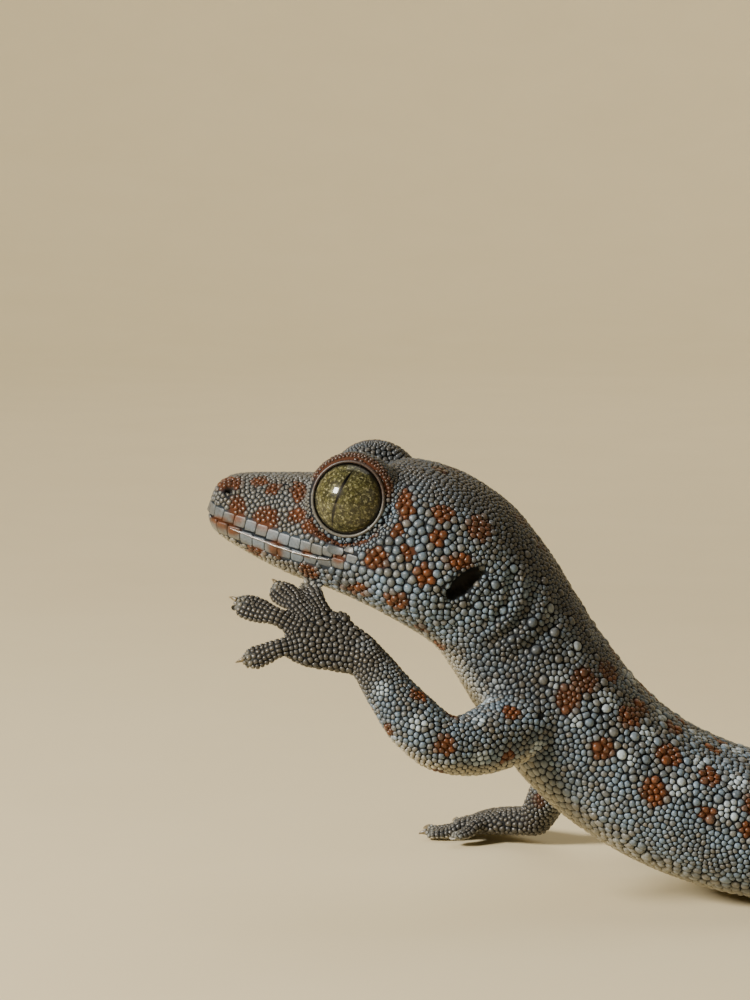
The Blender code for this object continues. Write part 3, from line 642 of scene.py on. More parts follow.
def joined(parts, name):
    """Several bmeshes as one mesh of separate shells."""
    together = bmesh.new()
    for part in parts:
        mesh = into_mesh(part, "part")
        together.from_mesh(mesh)
        bpy.data.meshes.remove(mesh)
    return into_mesh(together, name)


def read(mesh, what, collection="vertices", width=3, kind=float):
    values = np.empty(len(getattr(mesh, collection)) * width, kind)
    getattr(mesh, collection).foreach_get(what, values)
    return values.reshape(-1, width)


def gathered(index, rows, count):
    """For each of count points, the sum of the rows that index gives to it."""
    return np.stack([np.bincount(index, rows[:, i], count) for i in range(3)], axis=1)


def smoothed(points, edges, share, times):
    """Points moved towards the mean of their neighbours."""
    total, (near, far) = len(points), edges.T
    count = np.bincount(edges.ravel(), minlength=total)[:, None]
    for _ in range(times):
        around = gathered(near, points[far], total) + gathered(far, points[near], total)
        points = points + (around / np.maximum(count, 1) - points) * share
    return points


# Where the fused mesh keeps all its triangles: the head's span and height, and the left hand's reach
FINE_HEAD, FINE_HEIGHT = (-1.0, 47.0), 30
FINE_HAND, HAND_MIDDLE = 17, 9
# Share and times of the smoothing that takes off the voxels' steps
VOXEL_SMOOTHING = (0.5, 5)


def fused_skin():
    """All the flesh as one closed surface, finest on the head and the left hand."""
    parts = [body_sweep()]
    for _, centre, axis in EYES:
        parts += [eye_ball(centre, axis, EYE_RADIUS + LID_THICKNESS, 40, 28), lid_ring(centre, axis)]
    for limb in LIMBS:
        parts += [limb.sweep(), limb.palm_sweep(), *(toe.sweep() for toe in limb.toes)]
        parts += [toe.sheath() for toe in limb.toes[1:]]
    made = new_object(joined(parts, "skin"), "skin")
    remesh = made.modifiers.new("fuse", "REMESH")
    remesh.mode = "VOXEL"
    remesh.voxel_size = SKIN_VOXEL
    made = new_object(applied(made), "skin")
    points = read(made.data, "co")
    edges = read(made.data, "vertices", "edges", 2, int)
    made.data.vertices.foreach_set("co", smoothed(points, edges, *VOXEL_SMOOTHING).ravel())
    first, last = FINE_HEAD
    back = in_head_frame(points)[:, 0]
    palm = np.array(LIMBS[0].wrist + LIMBS[0].forward * HAND_MIDDLE)
    hand = np.linalg.norm(points - palm, axis=1) < FINE_HAND
    kept = (back > first) & (back < last) & (points[:, 2] > FINE_HEIGHT) | hand
    group = made.vertex_groups.new(name="coarser")
    group.add(np.flatnonzero(~kept).tolist(), 1.0, "REPLACE")
    triangles = len(made.data.polygons) * 2
    decimate = made.modifiers.new("thin", "DECIMATE")
    decimate.ratio = min(1.0, SKIN_TRIANGLES / triangles)
    decimate.vertex_group = "coarser"
    decimate.vertex_group_factor = 1.0
    return applied(made)


class Surface:
    """The skin's points, normals and triangles, and the nearest place on it."""

    def __init__(self, points, triangles):
        self.points, self.triangles = points, triangles
        self.refresh()

    def refresh(self):
        a, b, c = (self.points[self.triangles[:, i]] for i in range(3))
        face = np.cross(b - a, c - a)
        self.areas = np.linalg.norm(face, axis=1) / 2
        self.normals = unit(sum(gathered(corner, face, len(self.points)) for corner in self.triangles.T))
        self.tree = BVHTree.FromPolygons(self.points.tolist(), self.triangles.tolist(), all_triangles=True)

    def nearest(self, points):
        """The nearest places on the skin, and its smooth normals there."""
        found, index = np.empty((len(points), 3)), np.empty(len(points), int)
        for i, point in enumerate(points):
            place, _, face, _ = self.tree.find_nearest(point)
            found[i], index[i] = place, face
        corners = self.triangles[index]
        weight = 1 / (np.linalg.norm(self.points[corners] - found[:, None], axis=2) + 0.05)
        normals = unit((self.normals[corners] * weight[:, :, None]).sum(1))
        return found, normals

    def hit(self, origin, direction):
        place, _, _, _ = self.tree.ray_cast(Vector(origin), Vector(direction))
        return place


def square_to(axis):
    """The ways towards the tail and up, square to an eye's axis."""
    return [(way - axis * way.dot(axis)).normalized() for way in (TAILWARD, UPWARD)]


def in_eye_frame(points, centre, axis):
    """Distance from an eye's axis, height along it, and angle about it (0 tailward, 90 up)."""
    offset = points - np.array(centre)
    height = offset @ np.array(axis)
    tailward, upward = square_to(axis)
    across, along = offset @ np.array(tailward), offset @ np.array(upward)
    return np.hypot(across, along), height, np.degrees(np.arctan2(along, across))


# The lids thin towards their edge: over this distance, to this thickness
LID_SLOPE = 1.5
LID_EDGE = 0.22
# How far behind the eyeball's front the skin in the opening lies, and how far within the edge it ends
EYE_SINK, EYE_INSET = 0.7, 0.15
# How far round the opening the skin is drawn out to a clean edge, and how
EDGE_REACH, EDGE_OUT, EDGE_SHARE = 0.55, 0.05, 0.9


def open_eyes(surface):
    """Sinks the skin behind each eyeball, which leaves a round lid edge over it."""
    points = surface.points
    for _, centre, axis in EYES:
        away, height, _ = in_eye_frame(points, centre, axis)
        base, outward = np.array(centre), np.array(axis)
        near = (away < EYE_OPENING + EDGE_REACH) & (height > 1.0) & (height < EYE_RADIUS + 4)
        inside = near & (away < EYE_OPENING)
        edge = near & ~inside
        radial = unit(points - base - height[:, None] * outward)
        behind = np.sqrt(np.maximum(EYE_RADIUS**2 - away**2, 0)) - EYE_SINK
        shrink = np.minimum(away, EYE_OPENING - EYE_INSET)
        points[inside] = base + radial[inside] * shrink[inside, None] + behind[inside, None] * outward
        rim = EYE_OPENING + EDGE_OUT + np.maximum(away - EYE_OPENING, 0) * EDGE_SHARE
        points[edge] = base + radial[edge] * rim[edge, None] + height[edge, None] * outward
        away, height, _ = in_eye_frame(points, centre, axis)
        slope = smoothstep(0, LID_SLOPE, away - EYE_OPENING)
        thickness = LID_EDGE + (LID_THICKNESS - COAT_DEPTH - LID_EDGE) * slope
        level = np.sqrt(np.maximum((EYE_RADIUS + thickness) ** 2 - away**2, 0))
        band = (away > EYE_OPENING - 0.02) & (away < EYE_OPENING + LID_SLOPE)
        band &= (height > level) & (height > 0)
        points[band] -= (height - level)[band, None] * outward
    surface.points = points


def oval_share(points, opening, side):
    """How far out of an oval opening each point is, where 1 is its edge."""
    centre, size, tilt = opening
    local = in_head_frame(points) - np.array(mirrored(centre, side))
    slant = radians(tilt)
    long = local[:, 0] * cos(slant) + local[:, 2] * sin(slant)
    short = -local[:, 0] * sin(slant) + local[:, 2] * cos(slant)
    share = np.hypot(long / size[0], short / size[1])
    return np.where(local[:, 1] * side > -5, share, 9.0)


# The mouth's depth, spread and end, and each opening's depth and wall, by shares of its oval
MOUTH_GROOVE = (0.4, 0.3)
MOUTH_FADE = (25.0, 28.4)
EAR_DEPTH, EAR_WALL = 2.6, (0.55, 1.1)
NOSTRIL_DEPTH, NOSTRIL_WALL = 1.2, (0.5, 1.25)
# How far the snout's tip is drawn back to blunt it, and over what length
BLUNT_TIP = (0.5, 0.9)
# Folds on each side of the head and neck: points (back, up) in the head's frame, half width and depth
FOLDS = [
    ([(48.0, -7.5), (50.5, -5.0), (51.6, -1.5), (51.2, 2.5)], 0.7, 0.75),
    ([(50.2, -9.5), (53.2, -6.6), (54.8, -2.6), (54.6, 2.0)], 0.8, 0.7),
    ([(52.5, -12.0), (56.0, -9.0), (58.6, -4.8), (59.2, 0.0)], 0.9, 0.6),
    ([(28.5, 1.4), (31.5, 1.0), (34.5, -0.8), (37.0, -3.4)], 0.8, 0.4),
]
# Folds round each eye: from and to angle, distance from the axis, half width and depth
LID_FOLDS = [(-125.0, 25.0, 7.55, 0.42, 0.42), (40.0, 150.0, 8.2, 0.5, 0.35)]
FOLD_FADE = 25
# The low ridge beside a fold: its height, place and width as shares of the fold's
FOLD_RIDGE = (0.45, 1.9, 0.9)


def distance_to_path(points, path):
    """Each point's distance from a smooth line through path, and its share of the way along it."""
    line, total = curve_through(path)
    samples = np.array([line(where) for where in np.linspace(0, total, 40)])
    apart = np.linalg.norm(points[:, None] - samples[None], axis=2)
    return apart.min(1), apart.argmin(1) / 39


def carve_head(surface):
    """Presses the mouth, nostrils, ears and folds into the skin."""
    points, normals = surface.points, surface.normals
    place = in_head_frame(points)
    lips = mouth_level(place[:, 0])
    depth, spread = MOUTH_GROOVE
    fade = 1 - smoothstep(*MOUTH_FADE, place[:, 0])
    press = depth * np.exp(-(((place[:, 2] - lips) / spread) ** 2)) * fade
    for side in (1, -1):
        ear = oval_share(points, EAR, side)
        inward = np.where(place[:, 1] * side > 0, 1, 0)
        press += inward * EAR_DEPTH * (1 - smoothstep(*EAR_WALL, ear))
        nostril = oval_share(points, NOSTRIL, side)
        press += inward * NOSTRIL_DEPTH * (1 - smoothstep(*NOSTRIL_WALL, nostril))
        on_side = (place[:, 1] * side > 3) & (place[:, 0] > 25) & (place[:, 0] < 66)
        for path, half, deep in FOLDS:
            apart, share = distance_to_path(place[on_side][:, [0, 2]], path)
            ends = np.sin(np.clip(share, 0.02, 0.98) * pi) ** 0.5
            height, out, width = FOLD_RIDGE
            ridge = height * np.exp(-(((apart - out * half) / (width * half)) ** 2))
            press[on_side] += deep * (np.exp(-((apart / half) ** 2)) - ridge) * ends
    for _, centre, axis in EYES:
        away, height, angle = in_eye_frame(points, centre, axis)
        for first, last, where, half, deep in LID_FOLDS:
            turn = (angle - first) % 360
            span = last - first
            ends = smoothstep(0, FOLD_FADE, turn) * (1 - smoothstep(span - FOLD_FADE, span, turn))
            press += np.where(height > -3, deep * np.exp(-(((away - where) / half) ** 2)) * ends, 0)
    points = points - normals * press[:, None]
    tip = BLUNT_TIP[0] * np.exp(-np.maximum(place[:, 0], 0) / BLUNT_TIP[1]) * (place[:, 0] < 4)
    surface.points = points + tip[:, None] * np.array(TAILWARD)


# Distances from a palm's middle and from a toe's tip over which their own look fades
HAND_FADE, TIP_FADE = (13, 19), (1.2, 2.6)
# The share of a toe at which its pad starts, and where its underside lies below the toe's middle
PAD_START = 0.42
PAD_UNDERSIDE = (-1.6, -0.1)


def near_toes(points):
    """How much each point belongs to a toe or a palm, from 0 to 1."""
    middles = np.array([limb.wrist + limb.forward * limb.palm[0] * 0.9 for limb in LIMBS])
    return 1 - smoothstep(*HAND_FADE, np.linalg.norm(points[:, None] - middles, axis=2).min(1))


def at_toe_tips(points):
    """1 at the bare, pale tip of each toe, and 0 behind it."""
    tips = np.array([toe.tip for toe in TOES])
    return 1 - smoothstep(*TIP_FADE, np.linalg.norm(points[:, None] - tips, axis=2).min(1))


def under_pads(points):
    """1 under a toe's pad, where the plates are, and 0 elsewhere."""
    inside = np.zeros(len(points))
    lowest, highest = PAD_UNDERSIDE
    for toe in TOES:
        for centre, side, up, share in along_path(toe.line, np.linspace(PAD_START, 1, 12), toe.back):
            offset = points - np.array(centre)
            across, above = offset @ np.array(side), offset @ np.array(up)
            along = offset @ np.array(up.cross(side))
            here = (np.abs(along) < 0.5) & (np.abs(across) < toe.shape(share)[0] * 0.9)
            inside[here & (above > lowest) & (above < highest)] = 1
    return inside


# The skin's least height over the floor, and that of any other piece
RESTING, FLOOR_CLEARANCE = 0.12, 0.03


def make_surface(mesh):
    """The fused mesh, brought in by the coat's depth and carved."""
    mesh.calc_loop_triangles()
    triangles = read(mesh, "vertices", "loop_triangles", 3, int)
    surface = Surface(read(mesh, "co"), triangles)
    depth = COAT_DEPTH + (COAT_DEPTH_TOES - COAT_DEPTH) * near_toes(surface.points)
    surface.points = surface.points - surface.normals * depth[:, None]
    surface.refresh()
    carve_head(surface)
    surface.refresh()
    open_eyes(surface)
    surface.points[:, 2] = np.maximum(surface.points[:, 2], RESTING)
    surface.refresh()
    return surface


# The animal's parts: the body, the four limbs, and the four hands and feet
BODY, FIRST_LIMB, FIRST_FOOT = 0, 1, 5


def centre_lines():
    """Samples of every centre line as rows of x, y, z, radius, part and place."""
    rows = []
    for place in np.arange(0, SPINE_LENGTH, 1.0):
        width, rise, drop = SECTION(place)
        rows.append((*SPINE.frame(place)[0], (width + (rise + drop) / 2) / 2, BODY, place))
    for i, limb in enumerate(LIMBS):
        for centre, _, _, share in along_path(limb.line, np.linspace(0.25, 1, 24)):
            rows.append((*centre, limb.radii(share)[0], FIRST_LIMB + i, share))
        length, half = limb.palm[:2]
        for share in np.linspace(0.25, 0.95, 8):
            rows.append((*(limb.wrist + limb.forward * length * share), half * 0.75, FIRST_FOOT + i, share))
        for toe in limb.toes:
            for centre, _, _, share in along_path(toe.line, np.linspace(0.2, 1, 10), toe.back):
                rows.append((*centre, 1.2, FIRST_FOOT + i, 1 + share))
    return np.array(rows)


LINES = centre_lines()
# The spine's frame at each millimetre: point, back, left and up
SPINE_SAMPLES = np.array([SPINE.frame(place) for place in np.arange(0, SPINE_LENGTH, 1.0)])
# Points compared with the centre lines at a time
CHUNK = 8000


def spine_sample(place):
    """The spine's point, back, left and up near each place."""
    return SPINE_SAMPLES[np.clip(place.astype(int), 0, len(SPINE_SAMPLES) - 1)].swapaxes(0, 1)


def where_on_body(points):
    """Each point's part, its place along that part, and its angle about the spine (90 on the back)."""
    nearest = []
    for start in range(0, len(points), CHUNK):
        chunk = points[start:start + CHUNK]
        gap = np.linalg.norm(chunk[:, None] - LINES[None, :, :3], axis=2) - LINES[None, :, 3]
        nearest.append(gap.argmin(1))
    part, place = LINES[np.concatenate(nearest), 4:].T
    part = part.astype(int)
    middle, _, left, up = spine_sample(np.where(part == BODY, place, 0))
    offset = points - middle
    angle = np.degrees(np.arctan2((offset * up).sum(1), (offset * left).sum(1)))
    return part, place, angle


def photo_axes():
    """The camera's place, its target, its right and its up."""
    azimuth, elevation = radians(VIEW_AZIMUTH), radians(VIEW_ELEVATION)
    level = cos(elevation)
    towards = Vector((sin(azimuth) * level, -cos(azimuth) * level, sin(elevation)))
    right = Vector((cos(azimuth), sin(azimuth), 0))
    up = towards.cross(right)
    target = (
        Vector(SPINE.points[0])
        + right * (FRAME_WIDTH / 2 - SNOUT_PIXEL[0]) * PIXEL
        - up * (FRAME_HEIGHT / 2 - SNOUT_PIXEL[1]) * PIXEL
    )
    return target + towards * VIEW_DISTANCE, target, right, up


CAMERA, CAMERA_TARGET, CAMERA_RIGHT, CAMERA_UP = photo_axes()


def pixel_ray(x, y):
    """The direction from the camera through a pixel of the photograph."""
    across, down = (x - FRAME_WIDTH / 2) * PIXEL, (y - FRAME_HEIGHT / 2) * PIXEL
    return (CAMERA_TARGET + CAMERA_RIGHT * across - CAMERA_UP * down - CAMERA).normalized()


# The kinds of scale. Each row below is one: how square its corners are, its reach in radii, the most that its
# ground may curve, its height by its radius, and the gap round it by its outline.
BEAD, TUBERCLE, LABIAL, LID, RIM, PLATE = range(6)
CORNER, REACH, CURVE, HEIGHT, GAP = np.array(
    [
        (10, 1.48, 0.4, 0.64, 0.02),
        (6, 1.15, 0.25, 0.78, 0.05),
        (36, 2.1, 0.2, 0.12, 0.01),
        (9, 1.3, 0.4, 0.5, 0.05),
        (8, 1.2, 0.3, 0.55, 0.05),
        (10, 1.4, 0.2, 0.6, 0.03),
    ]
).T
# The most that a scale may stand, and the least gap round it
HEIGHT_LIMIT, GAP_LEAST = 0.5, 0.025
# The scutes along each lip: their length, how far up from the mouth line they stand, and their radius
UPPER_LIP = (2.15, 1.2, 1.2)
LOWER_LIP = (2.6, -1.28, 1.3)
# Their size at the snout's tip, and how much of it they lose by the corners of the mouth
LIP_SIZE = (1.08, 0.42)
# Where no bead grows: above and below the mouth line, how far back and how much narrower there; round an
# eye's opening; and within shares of an ear's and a nostril's oval
LIP_BAND, LIP_BAND_NARROWS = (2.35, 2.5, 24.0), 0.3
LID_BARE, EAR_BARE, NOSTRIL_BARE = 0.6, 1.1, 1.3


# How far back the mouth line is sampled
MOUTH_SAMPLES = [27.2, 25.6, 22.6, 19.0, 15.0, 11.0, 7.5, 5.0, 3.2, 2.0, 1.1, 0.4]


def mouth_path():
    """The mouth line from its left corner round the snout to the right one, and its length."""
    level, square = smooth_through(MOUTH_LINE), BODY_SQUARE[1]
    half = []
    for back in MOUTH_SAMPLES:
        width, _, drop = SECTION(back)
        up = level(back)[0]
        out = (1 - min(0.98, abs(up) / drop) ** square) ** (1 / square)
        half.append((back, width * out, up))
    line = half + [(-0.35, 0, level(0)[0])] + [(b, -s, u) for b, s, u in reversed(half)]
    return curve_through([head_point(*row) for row in line])


def mouth_level(back):
    """How high the mouth line lies in the head's frame, by the distance behind the snout's tip."""
    level = smooth_through(MOUTH_LINE)
    samples = np.linspace(MOUTH_LINE[0][0], MOUTH_LINE[-1][0], 60)
    return np.interp(back, samples, [level(where)[0] for where in samples])


def add_labials(sites):
    """The two rows of large scutes along the lips, smaller towards the corners of the mouth."""
    line, total = mouth_path()
    most, less = LIP_SIZE
    for length, out, radius in (UPPER_LIP, LOWER_LIP):
        count = round(total / length)
        count += 1 - count % 2
        for i in range(count):
            share = (i + 0.5) / count
            here, ahead = Vector(line(share * total)), Vector(line(min(share * total + 0.2, total)))
            along = (ahead - here).normalized()
            size = most - less * abs(2 * share - 1) ** 3
            up = (UPWARD - along * UPWARD.dot(along)).normalized()
            sites.append((here + up * out * size, radius * size, LABIAL))


# Rows of small scales on each lid: their distance from the opening's edge, and their radius
LID_ROWS, LID_ROW_LIFT = [(0.88, 0.27), (1.46, 0.32)], 0.1
# The room that a scale in such a row or round an opening has, in its own widths
LID_ROOM, RIM_ROOM = 1.04, 1.05


def add_eye_rings(sites):
    """Rings of small scales on each lid."""
    for _, centre, axis in EYES:
        tailward, upward = square_to(axis)
        for out, radius in LID_ROWS:
            reach = EYE_OPENING + out
            height = sqrt((EYE_RADIUS + LID_THICKNESS) ** 2 - reach**2) + LID_ROW_LIFT
            count = round(2 * pi * reach / (2 * radius * LID_ROOM))
            for k in range(count):
                turn = 2 * pi * k / count
                radial = tailward * cos(turn) + upward * sin(turn)
                sites.append((centre + radial * reach + axis * height, radius, LID))


def add_oval_rim(sites, opening, side, spread, radius):
    """A row of scales round an oval opening."""
    centre, size, tilt = opening
    slant = radians(tilt)
    length = pi * (size[0] + size[1] + 2 * spread)
    count = round(length / (2 * radius * RIM_ROOM))
    for k in range(count):
        turn = 2 * pi * k / count
        long, short = (size[0] + spread) * cos(turn), (size[1] + spread) * sin(turn)
        back = centre[0] + long * cos(slant) - short * sin(slant)
        up = centre[2] + long * sin(slant) + short * cos(slant)
        sites.append((head_point(back, centre[1] * side, up), radius, RIM))


# Cross rows of scales on the toes: distance between rows, width of a scale, and its radius
TOE_ROWS = (0.78, 0.96, 0.44)
# Between which shares of a toe they lie, from where they are smaller, and how many degrees up each starts
TOE_SPAN, TOE_END, END_SCALES = (0.16, 0.97), 0.9, 0.8
ROW_ENDS = 8


def add_toe_rows(sites):
    """Rows of scales across the upper side of each toe."""
    step, width, radius = TOE_ROWS
    first, last = TOE_SPAN
    for toe in TOES:
        rows = np.linspace(first, last, round((last - first) * toe.length() / step))
        for centre, side, up, share in along_path(toe.line, rows, toe.back):
            half, rise, _ = toe.shape(share)
            count = max(2, round(2 * (half + rise * 0.6) / width))
            for k in range(count):
                angle = radians(ROW_ENDS + (180 - 2 * ROW_ENDS) * (k + 0.5) / count)
                out = side * half * cos(angle) + up * rise * sin(angle)
                sites.append((centre + out, radius * (END_SCALES if share > TOE_END else 1), PLATE))


# Rows of knobs: the first row's place and the last one's from the tail's tip, and for body and tail: from
# knob to knob, row to row, the degrees at which a row starts, a knob's radius and its stray from the row
FIRST_KNOBS, LAST_KNOBS = 47.0, 14
BODY_KNOBS = (4.1, 3.5, 8, 0.98, 0.3)
TAIL_KNOBS = (3.3, 6.2, 12, 0.88, None)


def add_tubercles(sites):
    """Staggered rows of knobs over the nape, back and flanks, and whorls of them on the tail."""
    place, row = FIRST_KNOBS, 0
    while place < SPINE_LENGTH - LAST_KNOBS:
        width, rise, _ = SECTION(place)
        on_tail = place > SNOUT_TO_VENT + 3
        apart, onward, first, size, stray = TAIL_KNOBS if on_tail else BODY_KNOBS
        count = max(3, round(pi * (width + rise) / 2 * (180 - 2 * first) / 180 / apart))
        for k in range(count):
            share = (k + (0.5 if row % 2 else 0.0)) / (count - 0.5)
            angle = radians(first + (180 - 2 * first) * share)
            along = place + (RANDOM.normal(0, stray) if stray else 0)
            centre, _, left, up = SPINE.frame(along)
            out = left * width * cos(angle) + up * rise * sin(angle)
            radius = size * RANDOM.uniform(0.88, 1.1) * min(1, 0.55 + width / 14)
            sites.append((centre + out, radius, TUBERCLE))
        place += onward
        row += 1


# Places along the spine
HEAD_END, NECK_END, THIN_TAIL = 47, 70, 285
# Radii of the ordinary scales, two where they change along a part
BACK_SCALES, BELLY_SCALES, NECK_SCALES, CROWN_SCALES, THROAT_SCALES = 0.56, 0.82, 0.5, 0.5, 0.44
SNOUT_SCALES, CHEEK_SCALES, LID_SCALES = (0.46, 0.51), (0.66, 0.5), 0.34
TAIL_SCALES, TAIL_BELLY_SCALES = (0.58, 0.38), (0.8, 0.35)
LIMB_SCALES, PALM_SCALES, TOE_SCALES = (0.52, 0.44), 0.5, 0.4


def scale_radius(points):
    """Half the distance between ordinary scales, for each part of the animal."""
    part, place, angle = where_on_body(points)
    back, _, up = in_head_frame(points).T

    def changing(sizes, start, end, along):
        return sizes[0] + (sizes[1] - sizes[0]) * smoothstep(start, end, along)

    body, foot = part == BODY, part >= FIRST_FOOT
    on_head, tail = body & (place < HEAD_END), body & (place >= SNOUT_TO_VENT)
    below = body & (angle < -25) & (angle > -155)
    rules = [
        (on_head, changing(CHEEK_SCALES, 38, 48, back)),
        (on_head & (back < 22), changing(SNOUT_SCALES, 10, 20, back)),
        (on_head & (up > 9) & (back > 16), CROWN_SCALES),
        (on_head & (angle < -40) & (angle > -140), THROAT_SCALES),
        (body & (place >= HEAD_END) & (place < NECK_END), NECK_SCALES),
        (below & (place > NECK_END) & (place < SNOUT_TO_VENT), BELLY_SCALES),
        (tail, changing(TAIL_SCALES, 225, THIN_TAIL, place)),
        (tail & below, changing(TAIL_BELLY_SCALES, 215, THIN_TAIL, place)),
        (~body & ~foot, changing(LIMB_SCALES, 0.6, 1, place)),
        (foot, PALM_SCALES),
        (foot & (place > 1.3), TOE_SCALES),
    ]
    for _, centre, axis in EYES:
        away, height, _ = in_eye_frame(points, centre, axis)
        rules.append(((away < 8.4) & (height > -1) & (up > 1), LID_SCALES))
    radius = np.full(len(points), BACK_SCALES)
    for here, size in rules:
        radius = np.where(here, size, radius)
    return radius


# Where round beads stand among much smaller granules, and the share and size of each
CHEEK_BACK, CHEEK_UP = (24, 50), (-11, 9)
GRANULES, GRANULE_SIZE, CHEEK_BEAD_SIZE = 0.3, (0.48, 0.66), (0.98, 1.26)
SCALE_VARIES = (0.84, 1.16)


def on_cheek(points):
    place = in_head_frame(points)
    back, up = place[:, 0], place[:, 2]
    return (back > CHEEK_BACK[0]) & (back < CHEEK_BACK[1]) & (up > CHEEK_UP[0]) & (up < CHEEK_UP[1])


def neighbours(points, count):
    """The indices of the nearest other points."""
    tree = tree_of(points)
    return np.array([[found[1] for found in tree.find_n(point, count + 1)] for point in points])[:, 1:]


def scattered(surface, share):
    """Random places on the skin, as close as each part's ordinary scales, with their radii."""
    corners = surface.points[surface.triangles]
    radius = scale_radius(corners.mean(1))
    density = surface.areas / (2 * sqrt(3) * radius**2) * share
    count = int(density.sum())
    chosen = RANDOM.choice(len(density), count, p=density / density.sum())
    a, b = RANDOM.random((2, count))
    flip = a + b > 1
    a, b = np.where(flip, 1 - a, a)[:, None], np.where(flip, 1 - b, b)[:, None]
    one, two, three = corners[chosen].swapaxes(0, 1)
    points = one + a * (two - one) + b * (three - one)
    radii = radius[chosen] * RANDOM.uniform(*SCALE_VARIES, count)
    granules = RANDOM.random(count) < GRANULES
    small, large = RANDOM.uniform(*GRANULE_SIZE, count), RANDOM.uniform(*CHEEK_BEAD_SIZE, count)
    radii = np.where(on_cheek(points), radius[chosen] * np.where(granules, small, large), radii)
    free = np.ones(count, bool)
    for _, centre, axis in EYES:
        away, height, _ = in_eye_frame(points, centre, axis)
        free &= ~((away < EYE_OPENING + LID_BARE) & (height > 0))
    for side in (1, -1):
        free &= oval_share(points, EAR, side) > EAR_BARE
        free &= oval_share(points, NOSTRIL, side) > NOSTRIL_BARE
    place = in_head_frame(points)
    above, under, back = LIP_BAND
    height = place[:, 2] - mouth_level(place[:, 0])
    shrink = 1 - LIP_BAND_NARROWS * (np.clip(place[:, 0], 0, back) / back) ** 2
    free &= ~((place[:, 0] < back) & (height < above * shrink) & (height > -under * shrink))
    free &= under_pads(points) < 0.5
    return points[free], radii[free]


def tree_of(points):
    tree = KDTree(len(points))
    for i, point in enumerate(points):
        tree.insert(point, i)
    tree.balance()
    return tree


# How scales make room: how many push each, how much of the overlap it goes at a time, how far at most in its
# own radii, and the room for two as a share of both radii
PUSHERS, PUSH, LONGEST_PUSH, ROOM = 8, 0.5, 0.45, 1.02


def apart_from(points, radii, others, other_radii, share):
    """Whether each point keeps this share of both radii from its nearest other."""
    tree = tree_of(others)
    index, distance = np.array([tree.find(point)[1:] for point in points]).T
    return distance > share * (other_radii[index.astype(int)] + radii)


def thinned(points, radii, share):
    """A choice of the points in which none lies too near another."""
    tree = tree_of(points)
    kept = np.ones(len(points), bool)
    for i, point in enumerate(points):
        if kept[i]:
            for _, other, _ in tree.find_range(point, 2 * share * radii[i]):
                kept[other] &= other <= i
    return points[kept], radii[kept]


def relax(surface, points, radii, fixed, steps):
    """Pushes scales apart until each has room. The fixed ones keep their places."""
    for step in range(steps):
        around = neighbours(points, PUSHERS)
        offset = points[:, None] - points[around]
        distance = np.linalg.norm(offset, axis=2)
        room = (radii[:, None] + radii[around]) * ROOM
        push = np.clip(1 - distance / room, 0, 1) * room * PUSH
        move = (offset / (distance[:, :, None] + 1e-6) * push[:, :, None]).sum(1)
        longest = np.linalg.norm(move, axis=1, keepdims=True)
        move *= np.minimum(1, LONGEST_PUSH * radii[:, None] / (longest + 1e-9))
        points = np.where(fixed[:, None], points, points + move)
        if step % 2 or step == steps - 1:
            loose = ~fixed
            points[loose], _ = surface.nearest(points[loose])
    return points


# The row round an ear and a nostril: how far out it lies, and the radius of its scales
EAR_ROW, NOSTRIL_ROW = (0.3, 0.36), (0.55, 0.42)
# The two sowings of ordinary scales, the second in the gaps: how many, as a share of what the skin holds,
# their size, how near they may come to those before them, and how often they push each other
FIRST_SOWING = (1.08, 1.0, 0.72, 6)
SECOND_SOWING = (1.5, 0.8, 0.8, 4)


def make_sites(surface):
    """Every scale: places, normals, radii and kinds."""
    sites = []
    add_labials(sites)
    add_eye_rings(sites)
    for side in (1, -1):
        add_oval_rim(sites, EAR, side, *EAR_ROW)
        add_oval_rim(sites, NOSTRIL, side, *NOSTRIL_ROW)
    add_toe_rows(sites)
    add_tubercles(sites)
    points, radii, kinds = (np.array(column) for column in zip(*sites))
    points, _ = surface.nearest(points)
    count = len(points)
    for sowing in (FIRST_SOWING, SECOND_SOWING):
        sown, size, apart, steps = sowing
        more, more_radii = scattered(surface, sown)
        more_radii = more_radii * size
        free = apart_from(more, more_radii, points, radii, apart)
        more, more_radii = more[free], more_radii[free]
        if sowing is SECOND_SOWING:
            more, more_radii = thinned(more, more_radii, apart)
        points, radii = np.vstack([points, more]), np.concatenate([radii, more_radii])
        points = relax(surface, points, radii, np.arange(len(points)) < count, steps)
    kinds = np.concatenate([kinds, np.full(len(points) - count, BEAD)])
    places, normals = surface.nearest(points)
    return places, normals, radii, kinds


# How near to the mouth's middle its scutes reach, the sine from which a neighbour lies over or under one, and
# how many neighbours may cut a scale
MOUTH_PARTING, OVER_OR_UNDER, CUTTERS = 0.93, 0.55, 15


